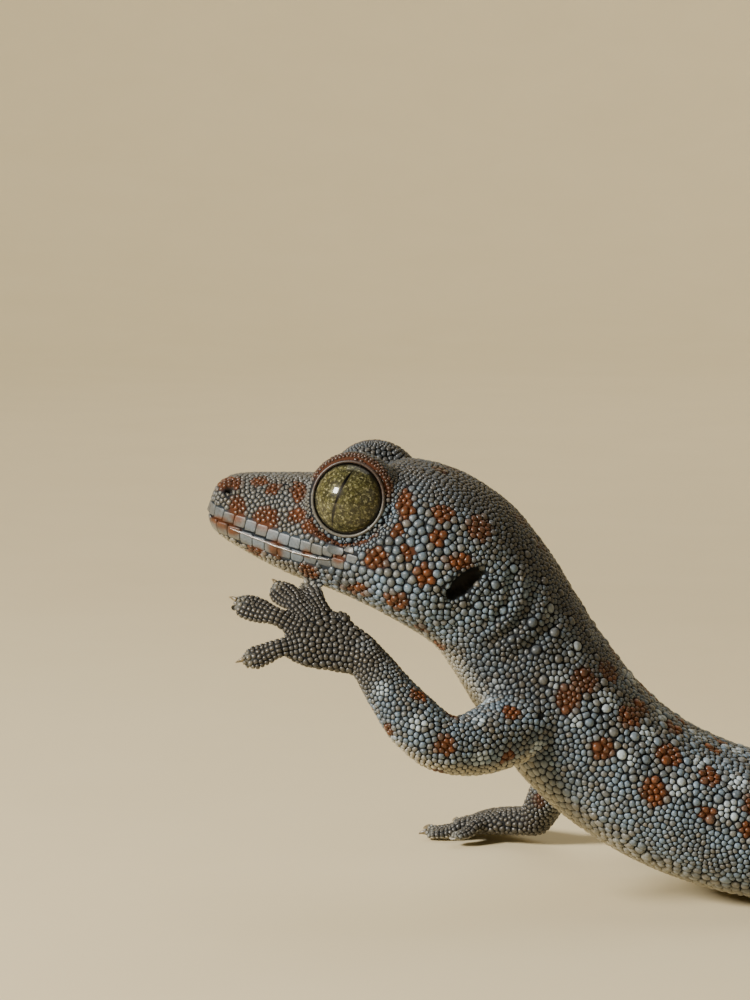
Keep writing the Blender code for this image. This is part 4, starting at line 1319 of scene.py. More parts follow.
def cell_outlines(points, normals, radii, kinds, sides):
    """Each scale's own axes, its outline's reach in each direction, and how its ground curves."""
    around = neighbours(points, CUTTERS)
    helper = np.where(np.abs(normals[:, :1]) < 0.9, [[1.0, 0, 0]], [[0, 1.0, 0]])
    first = unit(np.cross(normals, helper))
    second = np.cross(normals, first)
    offset = points[around] - points[:, None]
    x = (offset * first[:, None]).sum(2)
    y = (offset * second[:, None]).sum(2)
    z = (offset * normals[:, None]).sum(2)
    facing = (normals[around] * normals[:, None]).sum(2) > 0.1
    distance = np.hypot(x, y) + 1e-6
    share = radii[:, None] / (radii[:, None] + radii[around])
    angle = np.arctan2(y, x)
    # What lies over or under a lip scute cuts it straight along the lip
    upright = np.arctan2(second @ np.array(UPWARD), first @ np.array(UPWARD))[:, None]
    rise = x * np.cos(upright) + y * np.sin(upright)
    straight = (kinds == LABIAL)[:, None] & (np.abs(rise) > OVER_OR_UNDER * distance)
    share = np.where(straight & (kinds[around] == LABIAL), share * MOUTH_PARTING, share)
    angle = np.where(straight, upright + np.where(rise < 0, pi, 0), angle)
    half = np.where(straight, np.abs(rise), distance) * share
    turns = 2 * pi * np.arange(sides) / sides
    slope = np.cos(turns[None, None] - angle[:, :, None]) / half[:, :, None]
    slope = np.where(facing[:, :, None], np.maximum(slope, 0), 0)
    corner = CORNER[kinds][:, None]
    bound = 1 / (REACH[kinds] * radii)[:, None]
    total = (slope ** corner[:, :, None]).sum(1) + bound**corner
    outline = total ** (-1 / corner)
    weight = np.where(facing, 1 / distance**4, 0)
    terms = np.stack([x * x, x * y, y * y], axis=2)
    left = np.einsum("nk,nki,nkj->nij", weight, terms, terms) + np.eye(3) * 1e-6
    right = np.einsum("nk,nki,nk->ni", weight, terms, z)
    bend = np.linalg.solve(left, right[:, :, None])[:, :, 0]
    most = CURVE[kinds][:, None]
    return first, second, outline, np.clip(bend, -most, most)


def dome_template(sides, rings):
    """The triangles of one dome: a crown point, then rings of points outwards."""
    triangles = [(0, 1 + k, 1 + (k + 1) % sides) for k in range(sides)]
    for row in range(rings - 1):
        inner, outer = 1 + row * sides, 1 + (row + 1) * sides
        for k in range(sides):
            after = (k + 1) % sides
            triangles += [(inner + k, outer + k, outer + after), (inner + k, outer + after, inner + after)]
    return np.array(triangles)


# At which shares of the outline each ring of a dome lies, and how high, by the crown's height
COARSE_RINGS = [(0.68, 0.73), (1.0, -0.30)]
FINE_RINGS = [(0.48, 0.91), (0.88, 0.57), (1.0, -0.30)]
PLATE_RINGS = [(0.6, 0.99), (0.88, 0.95), (0.97, 0.7), (1.0, -0.5)]


def domes(points, normals, gaps, heights, outlines, profile):
    """Vertices (scales, points, 3), and how far each stands out of the gaps (0 to 1)."""
    first, second, outline, bend = outlines
    sides = outline.shape[1]
    turns = 2 * pi * np.arange(sides) / sides
    outline = outline * (1 - gaps[:, None]) - GAP_LEAST
    vertices = [points + normals * heights[:, None]]
    relief = [np.ones(len(points))]
    for share, lift in profile:
        x, y = outline * np.cos(turns) * share, outline * np.sin(turns) * share
        ground = bend[:, :1] * x * x + bend[:, 1:2] * x * y + bend[:, 2:] * y * y
        z = ground + (heights * lift)[:, None]
        ring_points = (
            points[:, None] + first[:, None] * x[:, :, None] + second[:, None] * y[:, :, None]
            + normals[:, None] * z[:, :, None]
        )
        vertices += list(ring_points.transpose(1, 0, 2))
        relief += [np.full(len(points), max(lift, 0.0))] * sides
    return np.stack(vertices, axis=1), np.stack(relief, axis=1)


# Orange spots of the head and neck: pixel, width and height in the photograph
PHOTO_SPOTS = [
    (218, 520, 24, 7), (212, 492, 8, 12), (234, 531, 14, 8), (228, 483, 26, 14), (237, 510, 16, 24),
    (266, 519, 24, 20), (260, 481, 16, 10), (273, 489, 12, 12),
    (299, 491, 14, 22), (226, 525, 22, 8), (256, 551, 20, 10), (276, 549, 14, 18), (307, 553, 10, 8),
    (339, 559, 12, 8), (309, 571, 18, 14), (376, 559, 22, 18), (397, 532, 10, 14), (409, 552, 12, 12),
    (425, 576, 16, 18), (396, 601, 22, 16), (357, 588, 28, 10), (406, 505, 14, 30), (437, 537, 14, 16),
    (444, 514, 20, 16), (480, 528, 22, 24), (459, 562, 24, 12), (423, 628, 10, 10), (440, 645, 12, 14),
    (415, 460, 14, 10), (440, 470, 14, 10), (520, 520, 18, 16), (540, 545, 16, 16),
    (297, 515, 18, 14), (312, 526, 20, 13), (328, 535, 22, 12), (344, 540, 22, 11), (360, 540, 20, 10),
    (373, 535, 14, 12),
]
# Pale spots of the shoulder, in the same way
PHOTO_PALE = [
    (550, 614, 14, 14), (576, 652, 14, 16), (559, 680, 16, 14), (594, 636, 12, 16), (498, 686, 12, 10),
]
# Their shift on the right side, their depth, and where the edge of a spot fades
RIGHT_SHIFT, SPOT_DEPTH = (0.9, 0, -0.7), 1.3
FLAT_EDGE, ROUND_EDGE = (0.7, 1.5), (0.7, 1.45)
# The body's rows of spots: start, end from the tail's tip, step, distances in a row, radius and stray
SPOT_ROWS, ORANGE_APART, PALE_APART = (66.0, 8, 4.7), 6.0, 7.0
BODY_SPOTS, SPOT_STRAY = (1.1, 2.0), 0.9
LIMB_APART, LIMB_SPOTS = 4.6, (0.9, 1.5)


def photo_spots(surface, rows):
    """Spots (place, half width, half height) where the photograph shows them on the skin."""
    spots = []
    for x, y, width, height in rows:
        place = surface.hit(CAMERA, pixel_ray(x, y))
        if place is not None:
            spots.append((np.array(place), width * PIXEL / 2, height * PIXEL / 2))
    return spots


def body_spots():
    """Orange and pale spots (place, radius) in loose cross rows over the back, flanks and tail."""
    orange, pale = [], []
    place, end, onward = SPOT_ROWS
    row = 0
    while place < SPINE_LENGTH - end:
        width, rise, _ = SECTION(place)
        apart = PALE_APART if row % 2 else ORANGE_APART
        count = max(2, round(pi * (width + rise) / 2 / apart))
        for k in range(count):
            angle = radians(180 * (k + RANDOM.uniform(0.25, 0.75)) / count)
            centre, _, left, up = SPINE.frame(place + RANDOM.normal(0, SPOT_STRAY))
            spot = centre + left * width * cos(angle) + up * rise * sin(angle)
            radius = RANDOM.uniform(*BODY_SPOTS) * min(1, 0.4 + width / 14)
            (pale if row % 2 else orange).append((np.array(spot), radius))
        place += onward
        row += 1
    return orange, pale


def limb_spots(surface):
    """Spots over the limbs, alternately orange and pale."""
    part, _, _ = where_on_body(surface.points)
    pool = surface.points[(part >= FIRST_LIMB) & (part < FIRST_FOOT)]
    pool = pool[RANDOM.permutation(len(pool))[:3000]]
    taken = []
    for point in pool:
        if all(np.linalg.norm(point - other) > LIMB_APART for other, _ in taken):
            taken.append((point, RANDOM.uniform(*LIMB_SPOTS)))
    return taken[::2], taken[1::2]


# The rusty upper lid: where it fades, away from the eye's axis and at both ends
BROWN_EDGE, BROWN_START, BROWN_END = (6.9, 7.5), (0, 40), (150, 172)
# Where the pale underside comes in: degrees from level on the body, and the skin's tilt on the limbs
UNDER_BODY, UNDER_LIMB = (-18, -60), (-0.35, -0.8)
# The tail's bands: their step, and their start behind the vent
BAND_STEP, BANDS_START = 17.5, 6
# Where along the spine the painted shade of the nape and of the neck comes and goes, and how dark each part
# is. This dark is painted shade, and partly a dusky marking of the back.
NAPE, NAPE_SHADE = ((16, 34), (62, 80)), 0.75
NECK, NECK_SHADE = ((44, 54), (62, 82)), 0.5
# The hands' and feet's dark is their brown-grey colour, deepened with painted shade; the lids' and the tail
# bands' dark is their own colour
HAND_DARK_AND_SHADE, LID_DARK, TAIL_DARK = 0.8, 0.7, 0.45


def from_to(rise, fall, values):
    """1 between two places, rising over one span and falling over the other."""
    return smoothstep(*rise, values) * (1 - smoothstep(*fall, values))


class Markings:
    """The colour pattern, with some painted shade in it, the same for the skin and the scales."""

    def __init__(self, surface):
        self.flat_orange = photo_spots(surface, PHOTO_SPOTS)
        self.flat_pale = photo_spots(surface, PHOTO_PALE)
        self.orange, self.pale = (a + b for a, b in zip(body_spots(), limb_spots(surface)))

    def flat(self, points, spots, shift):
        """How much of each point lies in the photograph's spots."""
        inside = np.zeros(len(points))
        onward = np.array(CAMERA_RIGHT.cross(CAMERA_UP))
        for place, half_width, half_height in spots:
            offset = points - place - shift
            across, along = offset @ np.array(CAMERA_RIGHT), offset @ np.array(CAMERA_UP)
            depth = offset @ onward
            away = np.hypot(across / half_width, along / half_height)
            away = np.hypot(away, depth / (SPOT_DEPTH * max(half_width, half_height)))
            inside = np.maximum(inside, 1 - smoothstep(*FLAT_EDGE, away))
        return inside

    def round(self, points, spots):
        """How much of each point lies in the round spots."""
        inside = np.zeros(len(points))
        for place, radius in spots:
            near = np.flatnonzero(np.abs(points - place).max(1) < radius * ROUND_EDGE[1])
            away = np.linalg.norm(points[near] - place, axis=1) / radius
            inside[near] = np.maximum(inside[near], 1 - smoothstep(*ROUND_EDGE, away))
        return inside

    def at(self, points, normals):
        """Rows of orange, pale, underside and dark shares. The dark share is partly painted shade."""
        part, place, angle = where_on_body(points)
        other = points * np.array([1, -1, 1])
        orange, pale = self.round(points, self.orange), self.round(points, self.pale)
        left = points[:, 1] < 1.5
        for spots, share in ((self.flat_orange, orange), (self.flat_pale, pale)):
            here = self.flat(points, spots, np.zeros(3))
            there = self.flat(other, spots, np.array(RIGHT_SHIFT))
            np.maximum(share, np.where(left, here, there), out=share)
        head = in_head_frame(points)
        brown = np.zeros(len(points))
        for _, centre, axis in EYES:
            away, height, turn = in_eye_frame(points, centre, axis)
            band = (1 - smoothstep(*BROWN_EDGE, away)) * (height > 1)
            above = from_to(BROWN_START, BROWN_END, turn)
            brown = np.maximum(brown, band * above)
            orange = orange * (1 - (away < BROWN_EDGE[0]) * (height > -1) * (1 - above))
        body = part == BODY
        under = np.where(body, smoothstep(*UNDER_BODY, np.where(angle < -90, -180 - angle, angle)), 0)
        under = np.maximum(under, smoothstep(*UNDER_LIMB, normals[:, 2]) * ~body)
        orange = orange * (1 - 0.8 * under * (place > HEAD_END))
        tail = body & (place > SNOUT_TO_VENT + BANDS_START)
        bands = 0.5 + 0.5 * np.cos((place - SNOUT_TO_VENT) * 2 * pi / BAND_STEP)
        pale = np.where(tail, np.maximum(pale * 0.4, 0.75 * smoothstep(0.62, 0.85, bands)), pale)
        # Painted shade over the nape and the upper neck, partly a dusky marking too
        nape = body * from_to((30, 60), (120, 150), angle) * from_to(*NAPE, place)
        neck = body * from_to(*NECK, place) * (angle > -30)
        dark = np.where(tail, TAIL_DARK * (1 - smoothstep(0.3, 0.7, bands)), 0)
        dark = dark + np.maximum(NAPE_SHADE * nape, NECK_SHADE * neck)
        # Painted shade inside the ears and the nostrils, which takes the place of the orange there
        for side in (1, -1):
            ear = oval_share(points, EAR, side)
            nostril = oval_share(points, NOSTRIL, side)
            hollow_shade = np.maximum(1 - smoothstep(0.75, 1.0, ear), 1 - smoothstep(0.8, 1.15, nostril))
            hollow_shade = hollow_shade * (head[:, 1] * side > 0)
            dark, orange = np.maximum(dark, hollow_shade), orange * (1 - hollow_shade)
        hands = near_toes(points) * ~body
        orange = orange * (1 - 0.9 * hands)
        tips = at_toe_tips(points)
        # Hands and feet darkened: their own brown-grey, and painted shade
        dark = np.maximum(dark, HAND_DARK_AND_SHADE * hands) * (1 - 0.6 * tips)
        under = np.maximum(under, np.maximum(0.4 * hands, 0.6 * tips))
        dark = np.maximum(dark, LID_DARK * brown)
        return np.stack([np.maximum(orange, brown), pale * (1 - orange), under, dark], axis=1)


def finished(mesh, name, material, replaces=()):
    """A piece in the frame, its material and the nodes it stands for."""
    made = new_object(mesh, name)
    mesh.shade_smooth()
    mesh.materials.clear()
    mesh.materials.append(material)
    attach(made, "root")
    if replaces:
        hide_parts(*replaces)
    return made


def mesh_of(name, points, triangles):
    mesh = bpy.data.meshes.new(name)
    mesh.from_pydata(into_frame(points), [], triangles)
    mesh.update()
    return mesh


def carry_into_frame(mesh):
    """Moves a mesh from model space into the frame, in metres."""
    mesh.transform(Matrix.Scale(MM, 4) @ Matrix.Translation(OFFSET))
    return mesh


def set_marks(mesh, marks, relief, tone, warmth):
    """Stores orange, pale, underside and relief in one colour, and dark, tone and warmth in another."""
    marks_and_relief = np.column_stack([marks[:, :3], relief])
    shades = np.column_stack([marks[:, 3], tone, warmth, np.ones(len(tone))])
    for name, values in (("marks", marks_and_relief), ("shade", shades)):
        colour = mesh.attributes.new(name, "FLOAT_COLOR", "POINT")
        colour.data.foreach_set("color", values.astype(np.float32).ravel())


def linear(hex_colour):
    """An sRGB hex value as a linear colour with alpha."""
    parts = [int(hex_colour[i:i + 2], 16) / 255 for i in (1, 3, 5)]
    return (*(c / 12.92 if c <= 0.04045 else ((c + 0.055) / 1.055) ** 2.4 for c in parts), 1.0)


def per_mm(size):
    """The scale that makes a pattern's blotches about size millimetres across."""
    return 1 / (size * MM)


def node(material, kind, inputs=(), out=None, **settings):
    """Adds one node with its settings and links, and gives its outputs, or the one named by out.

    Each input is a value, or the output socket that feeds it.
    """
    made = material.node_tree.nodes.new("ShaderNode" + kind)
    for name, value in settings.items():
        setattr(made, name, value)
    for name, value in dict(inputs).items():
        socket = made.inputs[name]
        if isinstance(value, bpy.types.NodeSocket):
            material.node_tree.links.new(value, socket)
        else:
            socket.default_value = value
    return made.outputs if out is None else made.outputs[out]


def new_material(name):
    material = bpy.data.materials.new(name)
    material.use_nodes = True
    return material, material.node_tree.nodes["Principled BSDF"]


def finish_shader(material, shader, links, values):
    """Links patterns to the shader's sockets, and sets the uniform values on it."""
    for name, output in links.items():
        material.node_tree.links.new(output, shader.inputs[name])
    for name, value in values.items():
        shader.inputs[name].default_value = value
    return material


# Sockets of a Mix node: share, both colours and result. Those of a Map Range node go by number: the value,
# the two ends that it is read between, and the two that it is spread to.
SHARE, FIRST, SECOND, MIXED = 0, 6, 7, 2
COLOUR = {"data_type": "RGBA"}
EASED = {"interpolation_type": "SMOOTHSTEP"}

GROUND, GROUND_GREY = "#687a8a", "#505a62"
WARM = "#675e4c"
ORANGE, RUST = "#64381c", "#472c19"
PALE = "#9ca9b2"
UNDERSIDE = "#989280"
# The dark marks: their own colour on the lids, tail bands and hands, and painted shade on the nape, neck,
# hands, ears and nostrils
DARK_AND_SHADE = "#302c27"
# Painted crease shade in the gaps and round the foot of each scale: near black, and rust brown within an
# orange spot
CREASE_SHADE, RUST_CREASE_SHADE = "#121417", "#472715"
# Sizes in mm of the ground's clouds, the rust in an orange spot, and the mottle within a scale
CLOUD_SIZE, RUST_SIZE, MOTTLE_SIZE = 5.0, 1.6, 0.35
SOFT_NOISE = {"Detail": 3.0, "Roughness": 0.6}


def scale_material(name, crease_shade, roughness, gloss=0.45):
    """Reptile keratin: thin, hard and faintly waxy, so each scale has a small soft highlight.

    Its colour lies in the skin below, so it is mottled within a scale. Where its relief is low, in the
    creases, it is darkened with painted crease shade, up to the share given as its second argument.
    """
    material, shader = new_material(name)
    place = node(material, "TexCoord", out="Object")
    marks = node(material, "Attribute", attribute_name="marks")
    shade = node(material, "Attribute", out="Color", attribute_name="shade")
    orange, pale, under = node(material, "SeparateColor", {"Color": marks["Color"]})
    dark, tone, warmth = node(material, "SeparateColor", {"Color": shade})
    cloud, rust, fine = (
        node(material, "TexNoise", {"Vector": place, "Scale": per_mm(size), **SOFT_NOISE}, "Fac")
        for size in (CLOUD_SIZE, RUST_SIZE, MOTTLE_SIZE)
    )
    # depth is the share of painted crease shade: most at a scale's foot, none from two thirds of its height
    # up
    grey, warm, rusty, mottle, depth, rough = (
        node(material, "MapRange", dict(enumerate(row)), 0, **EASED)
        for row in (
            (cloud, 0.35, 0.65),
            (warmth, 0.0, 1.0, 0.0, 0.62),
            (rust, 0.35, 0.7),
            (fine, 0.3, 0.7, 0.82, 1.14),
            (marks["Alpha"], 0.0, 0.66, crease_shade, 0.0),
            (fine, 0.2, 0.8, roughness - 0.08, roughness + 0.12),
        )
    )
    rusts = {SHARE: rusty, FIRST: linear(ORANGE), SECOND: linear(RUST)}
    spots = node(material, "Mix", rusts, MIXED, **COLOUR)
    colour = linear(GROUND)
    for share, over in (
        (grey, linear(GROUND_GREY)),
        (warm, linear(WARM)),
        (under, linear(UNDERSIDE)),
        (orange, spots),
        (pale, linear(PALE)),
        (dark, linear(DARK_AND_SHADE)),
    ):
        colour = node(material, "Mix", {SHARE: share, FIRST: colour, SECOND: over}, MIXED, **COLOUR)
    lit = node(material, "Math", {0: mottle, 1: tone}, 0, operation="MULTIPLY")
    lit = node(material, "CombineColor", {0: lit, 1: lit, 2: lit}, 0)
    colour = node(
        material, "Mix", {SHARE: 1.0, FIRST: colour, SECOND: lit}, MIXED, blend_type="MULTIPLY", **COLOUR
    )
    # The painted crease shade, near black and rust brown within an orange spot, laid over the low relief
    creases = {SHARE: orange, FIRST: linear(CREASE_SHADE), SECOND: linear(RUST_CREASE_SHADE)}
    crease_shade_colour = node(material, "Mix", creases, MIXED, **COLOUR)
    colour = node(material, "Mix", {SHARE: depth, FIRST: colour, SECOND: crease_shade_colour}, MIXED, **COLOUR)
    bump = node(material, "Bump", {"Height": fine, "Strength": 0.25, "Distance": 0.06 * MM}, 0)
    links = {"Base Color": colour, "Roughness": rough, "Normal": bump}
    return finish_shader(material, shader, links, {"Specular IOR Level": gloss})


# Half the slit's width, by distance from its middle, as shares of the iris map
SLIT = [(0.0, 0.0062), (0.05, 0.005), (0.1, 0.0085), (0.15, 0.005), (0.2, 0.0), (1.0, 0.0)]
IRIS_SPAN = 4 * EYE_RADIUS
# Size in mm, detail and roughness of the iris's patches, pale specks, dark clouds and bends of its veins,
# and the size of the veins' meshes
IRIS_PATTERNS = [(1.0, 5.0, 0.7), (0.52, 4.0, 0.5), (1.53, 4.0, 0.6), (0.433, 3.0, 0.5)]
VEIN_MESH = 0.867


def eye_material():
    """The clear, wet spectacle over a gecko's eye: an olive iris, dark reticulate veins and a slit pupil.

    Patterns lie on the iris map, which spans IRIS_SPAN with the pupil's middle at its centre.
    """
    material, shader = new_material("wet eye")
    plan = node(material, "UVMap", out="UV", uv_map="iris")
    middled = node(material, "VectorMath", {0: plan, 1: (0.5, 0.5, 0)}, 0, operation="SUBTRACT")
    folded = node(material, "VectorMath", {0: middled}, 0, operation="ABSOLUTE")
    across, along, _ = node(material, "SeparateXYZ", {"Vector": folded})
    half = node(material, "FloatCurve", {"Value": along}, 0)
    curve = half.node.mapping.curves[0]
    curve.points[0].location, curve.points[1].location = SLIT[0], SLIT[-1]
    for where, width in SLIT[1:-1]:
        curve.points.new(where, width)
    half.node.mapping.update()
    edge = node(material, "Math", {0: across, 1: half}, 0, operation="SUBTRACT")
    pupil, halo = (
        node(material, "MapRange", dict(enumerate(row)), 0, **EASED)
        for row in ((edge, 0.0, 0.002, 1.0, 0.0), (edge, 0.0, 0.014, 0.8, 0.0))
    )
    grain = [{"Scale": IRIS_SPAN / size, "Detail": d, "Roughness": rough} for size, d, rough in IRIS_PATTERNS]
    patches, specks, cloud, wander = (node(material, "TexNoise", {"Vector": plan, **each}) for each in grain)
    bent = node(material, "VectorMath", {0: wander["Color"], 1: (0.05, 0.05, 0)}, 0, operation="MULTIPLY")
    moved = node(material, "VectorMath", {0: plan, 1: bent}, 0, operation="ADD")
    cells = {"Vector": moved, "Scale": IRIS_SPAN / VEIN_MESH}
    vein = node(material, "TexVoronoi", cells, "Distance", feature="DISTANCE_TO_EDGE")
    limbus = node(material, "Attribute", out="Fac", attribute_name="limbus")
    colour = linear("#2d2d18")
    for row, over in (
        ((patches["Fac"], 0.3, 0.7), "#5f5d39"),
        ((vein, 0.0, 0.2, 0.85, 0.0), "#1f1d11"),
        ((specks["Fac"], 0.55, 0.63, 0.0, 0.85), "#84815f"),
        ((cloud["Fac"], 0.5, 0.68, 0.0, 0.65), "#26241a"),
    ):
        share = node(material, "MapRange", dict(enumerate(row)), 0, **EASED)
        colour = node(material, "Mix", {SHARE: share, FIRST: colour, SECOND: linear(over)}, MIXED, **COLOUR)
    for share, over in ((halo, "#2a2716"), (limbus, "#0d0c09"), (pupil, "#050505")):
        colour = node(material, "Mix", {SHARE: share, FIRST: colour, SECOND: linear(over)}, MIXED, **COLOUR)
    bump = node(material, "Bump", {"Height": patches["Fac"], "Strength": 0.1, "Distance": 0.1 * MM}, 0)
    film = {"Coat Weight": 1.0, "Coat Roughness": 0.01, "Coat IOR": 1.38}
    links = {"Base Color": colour, "Normal": bump}
    return finish_shader(material, shader, links, {"Roughness": 0.35, "Specular IOR Level": 0.08, **film})


def clouded_material(name, size, first, second, values, spread=(), bump=None):
    """A surface of two colours in clouds about size millimetres across.

    Its bump, if any, has its own size in millimetres, its strength and its depth.
    """
    material, shader = new_material(name)
    place = node(material, "TexCoord", out="Object")
    noise = {"Vector": place, "Scale": per_mm(size), **SOFT_NOISE}
    share = node(material, "TexNoise", noise, "Fac")
    if spread:
        share = node(material, "MapRange", dict(enumerate((share, *spread))), 0, **EASED)
    mixed = {SHARE: share, FIRST: linear(first), SECOND: linear(second)}
    links = {"Base Color": node(material, "Mix", mixed, MIXED, **COLOUR)}
    if bump:
        grain, strength, depth = bump
        height = node(material, "TexNoise", {**noise, "Scale": per_mm(grain)}, "Fac")
        bumps = {"Height": height, "Strength": strength, "Distance": depth * MM}
        links["Normal"] = node(material, "Bump", bumps, 0)
    return finish_shader(material, shader, links, values)


def claw_material():
    """Claw keratin: dense, brown and translucent at its edges, polished by wear."""
    worn, relief = {"Roughness": 0.3}, (0.4, 0.15, 0.05)
    return clouded_material("claw keratin", 0.4, "#85795f", "#4c4234", worn, (0.3, 0.7), relief)


def moist_material():
    """The moist skin inside the lip: smooth, pinkish grey, with a film of saliva over it."""
    film = {"Roughness": 0.3, "Coat Weight": 0.8, "Coat Roughness": 0.08}
    return clouded_material("moist lip", 1.2, "#574e49", "#71665e", film)


def pad_material():
    """The soft, dry plates under the toes: pale grey, with a velvet of fine hairs that kills the gloss."""
    nap, relief = {"Roughness": 0.8, "Sheen Weight": 0.3}, (0.12, 0.3, 0.04)
    return clouded_material("toe pad velvet", 1.5, "#8b877c", "#a39f93", nap, (0.3, 0.7), relief)


def floor_material():
    """Matt studio paper: pale and even, with the faint cloud of its fibres."""
    return clouded_material("studio paper", 40.0, "#d9cba6", "#dfd2ae", {"Roughness": 0.9})


# The pupil in the photograph: its middle, and the slit's upper and lower end
PUPIL_PIXEL = (338, 496)
SLIT_TOP_PIXEL = (355, 470)
SLIT_LOW_PIXEL = (334, 530)
# The dark edge of the iris, by distance from the eye's axis
LIMBUS = (4.95, 5.4)


def on_eyeball(centre, pixel):
    """The way from the left eye's centre to where it shows at a pixel of the photograph."""
    ray = pixel_ray(*pixel)
    offset = CAMERA - centre
    along = offset.dot(ray)
    depth = -along - sqrt(along * along - offset.length_squared + EYE_RADIUS**2)
    return (offset + ray * depth).normalized()


def make_eyes(material):
    """Two eyeballs, each with a map of its iris laid out flat round the pupil."""
    _, left_centre, _ = EYES[0]
    pixels = (PUPIL_PIXEL, SLIT_TOP_PIXEL, SLIT_LOW_PIXEL)
    middle, top, low = (on_eyeball(left_centre, pixel) for pixel in pixels)
    for (side, centre, axis), name in zip(EYES, ("eye_left", "eye_right")):
        flip = Vector((1, 1 if side == 1 else -1, 1))
        towards, slit = (Vector(a * b for a, b in zip(v, flip)) for v in (middle, top - low))
        slit = (slit - towards * slit.dot(towards)).normalized()
        aside = slit.cross(towards)
        bm = eye_ball(centre, axis, EYE_RADIUS, 96, 64)
        layer = bm.loops.layers.uv.new("iris")
        for face in bm.faces:
            for loop in face.loops:
                out = (loop.vert.co - centre) / EYE_RADIUS
                reach = acos(max(-1, min(1, out.normalized().dot(towards))))
                flat = out - towards * out.dot(towards)
                flat = flat.normalized() if flat.length > 1e-6 else flat
                plan = (flat.dot(aside) * reach, flat.dot(slit) * reach)
                loop[layer].uv = [0.5 + value * EYE_RADIUS / IRIS_SPAN for value in plan]
        mesh = into_mesh(bm, name)
        away, height, _ = in_eye_frame(read(mesh, "co"), centre, axis)
        dark = mesh.attributes.new("limbus", "FLOAT", "POINT")
        dark.data.foreach_set("value", np.where(height > 0, smoothstep(*LIMBUS, away), 1).astype(np.float32))
        finished(carry_into_frame(mesh), name + "_ball", material, [name])


# A claw: how much thicker its root is than its point, half the point's thickness, and width by height
CLAW_TAPER, CLAW_POINT, CLAW_NARROW = 0.5, 0.07, 0.7


def claw_sweep(toe):
    """A small hooked claw that leaves its sheath."""
    side = toe.tipward.cross(toe.back).normalized()
    shares = np.linspace(SHEATH_PLACE, 1, 9)
    rings = []
    for share, centre in zip(shares, toe.claw_frames(shares)):
        onward = (share - SHEATH_PLACE) / (1 - SHEATH_PLACE)
        radius = CLAW_TAPER * (1 - onward) ** 0.8 + CLAW_POINT
        rings.append(ring(centre, side, toe.back, radius * CLAW_NARROW, radius, radius, 14, ROUND))
    bm = skin_rings(rings)
    for vert in bm.verts:
        vert.co.z = max(vert.co.z, FLOOR_CLEARANCE)
    return bm


def make_claws(material):
    """Four claws on each hand and foot. The first toe has none."""
    for limb in LIMBS:
        mesh = joined([claw_sweep(toe) for toe in limb.toes[1:]], "claws_" + limb.name)
        finished(carry_into_frame(mesh), "claws_" + limb.name, material)


# How much of its own colour the skin shows, where the rest is painted crease shade: between scales, under
# pads, along lips, at toe tips, in hollows
BARE, BARE_PADS, BARE_LIPS, BARE_TIPS, BARE_HOLLOWS = 0.06, 0.3, 0.16, 0.35, 0.25
# The lips' own skin, by its distance from the mouth line
LIP_START, LIP_END = (0.25, 0.5), (1.8, 2.6)


def make_skin(surface, markings, material):
    """The one skin under all the scales, in the place of all the flesh."""
    mesh = mesh_of("skin", surface.points, surface.triangles)
    marks = markings.at(surface.points, surface.normals)
    place = in_head_frame(surface.points)
    off_line = np.abs(place[:, 2] - mouth_level(place[:, 0]))
    lips = from_to(LIP_START, LIP_END, off_line) * (place[:, 0] < LIP_BAND[2])
    # Where bare is low, the skin shows painted crease shade
    bare = BARE + BARE_PADS * under_pads(surface.points) + BARE_LIPS * lips
    bare += BARE_TIPS * at_toe_tips(surface.points) + BARE_HOLLOWS * smoothstep(0.9, 1.0, marks[:, 3])
    set_marks(mesh, marks, bare, np.ones(len(bare)), np.zeros(len(bare)))
    flesh = [name for name in frame["nodes"] if not name.startswith("eye_")]
    finished(mesh, "skin", material, flesh)


# The coat's pieces along the spine, and where each ends. The first two are a left and a right one.
SPANS = [
    ("scales_head", 30), ("scales_cheek", 48), ("scales_neck", 76),
    ("scales_trunk", 118), ("scales_hips", 160), ("scales_tail", SPINE_LENGTH + 9),
]
# What the unwraps of a hand or foot and of the lips span, and how near to an edge a scale may stand
HAND_CHART, LIP_CHART, CHART_EDGE = (72, 32), (40, 64), 0.01


def region_of(points):
    """Each scale's piece of the coat, and its place on that piece's unwrap."""
    part, place, angle = where_on_body(points)
    turn = (angle + 450) % 360 / 360
    names = np.full(len(points), "scales_trunk", dtype=object)
    chart = np.stack([np.zeros(len(points)), turn], axis=1)
    left = points[:, 1] < spine_sample(place)[0][:, 1]
    start = 0
    for name, end in SPANS:
        here = (part == BODY) & (place >= start) & (place < end)
        names[here] = name
        chart[here, 0] = (place[here] - start) / (end - start)
        start = end
    for name in ("scales_head", "scales_cheek"):
        for side, chosen in (("_left", left), ("_right", ~left)):
            names[(names == name) & chosen] = name + side
    width, height = HAND_CHART
    for i, limb in enumerate(LIMBS):
        row = part == FIRST_LIMB + i
        names[row] = "scales_" + limb.name
        axis = np.array([limb.line[0], limb.line[2], limb.line[4]])
        side = np.cross(unit(axis[2] - axis[0]), [0, 0, 1.0])
        offset = points - axis[1]
        around = np.arctan2(offset[:, 2], offset @ side) / (2 * pi) + 0.5
        chart[row] = np.stack([place[row], around[row]], axis=1)
        foot = part == FIRST_FOOT + i
        names[foot] = "scales_" + ("hand" if limb.arm else "foot") + ("_left" if limb.side == 1 else "_right")
        offset = points - np.array(limb.wrist)
        across, along = offset @ np.array(limb.outer), offset @ np.array(limb.forward)
        above = (offset @ np.array(limb.normal)) > -0.5
        u = np.clip(0.25 + across / width, CHART_EDGE, 0.5 - CHART_EDGE) + np.where(above, 0, 0.5)
        chart[foot] = np.stack([u, 0.05 + along / height], axis=1)[foot]
    return names, np.clip(chart, CHART_EDGE, 1 - CHART_EDGE)


# The share of a piece's unwrap that one scale takes, each way
PATCH = 0.003
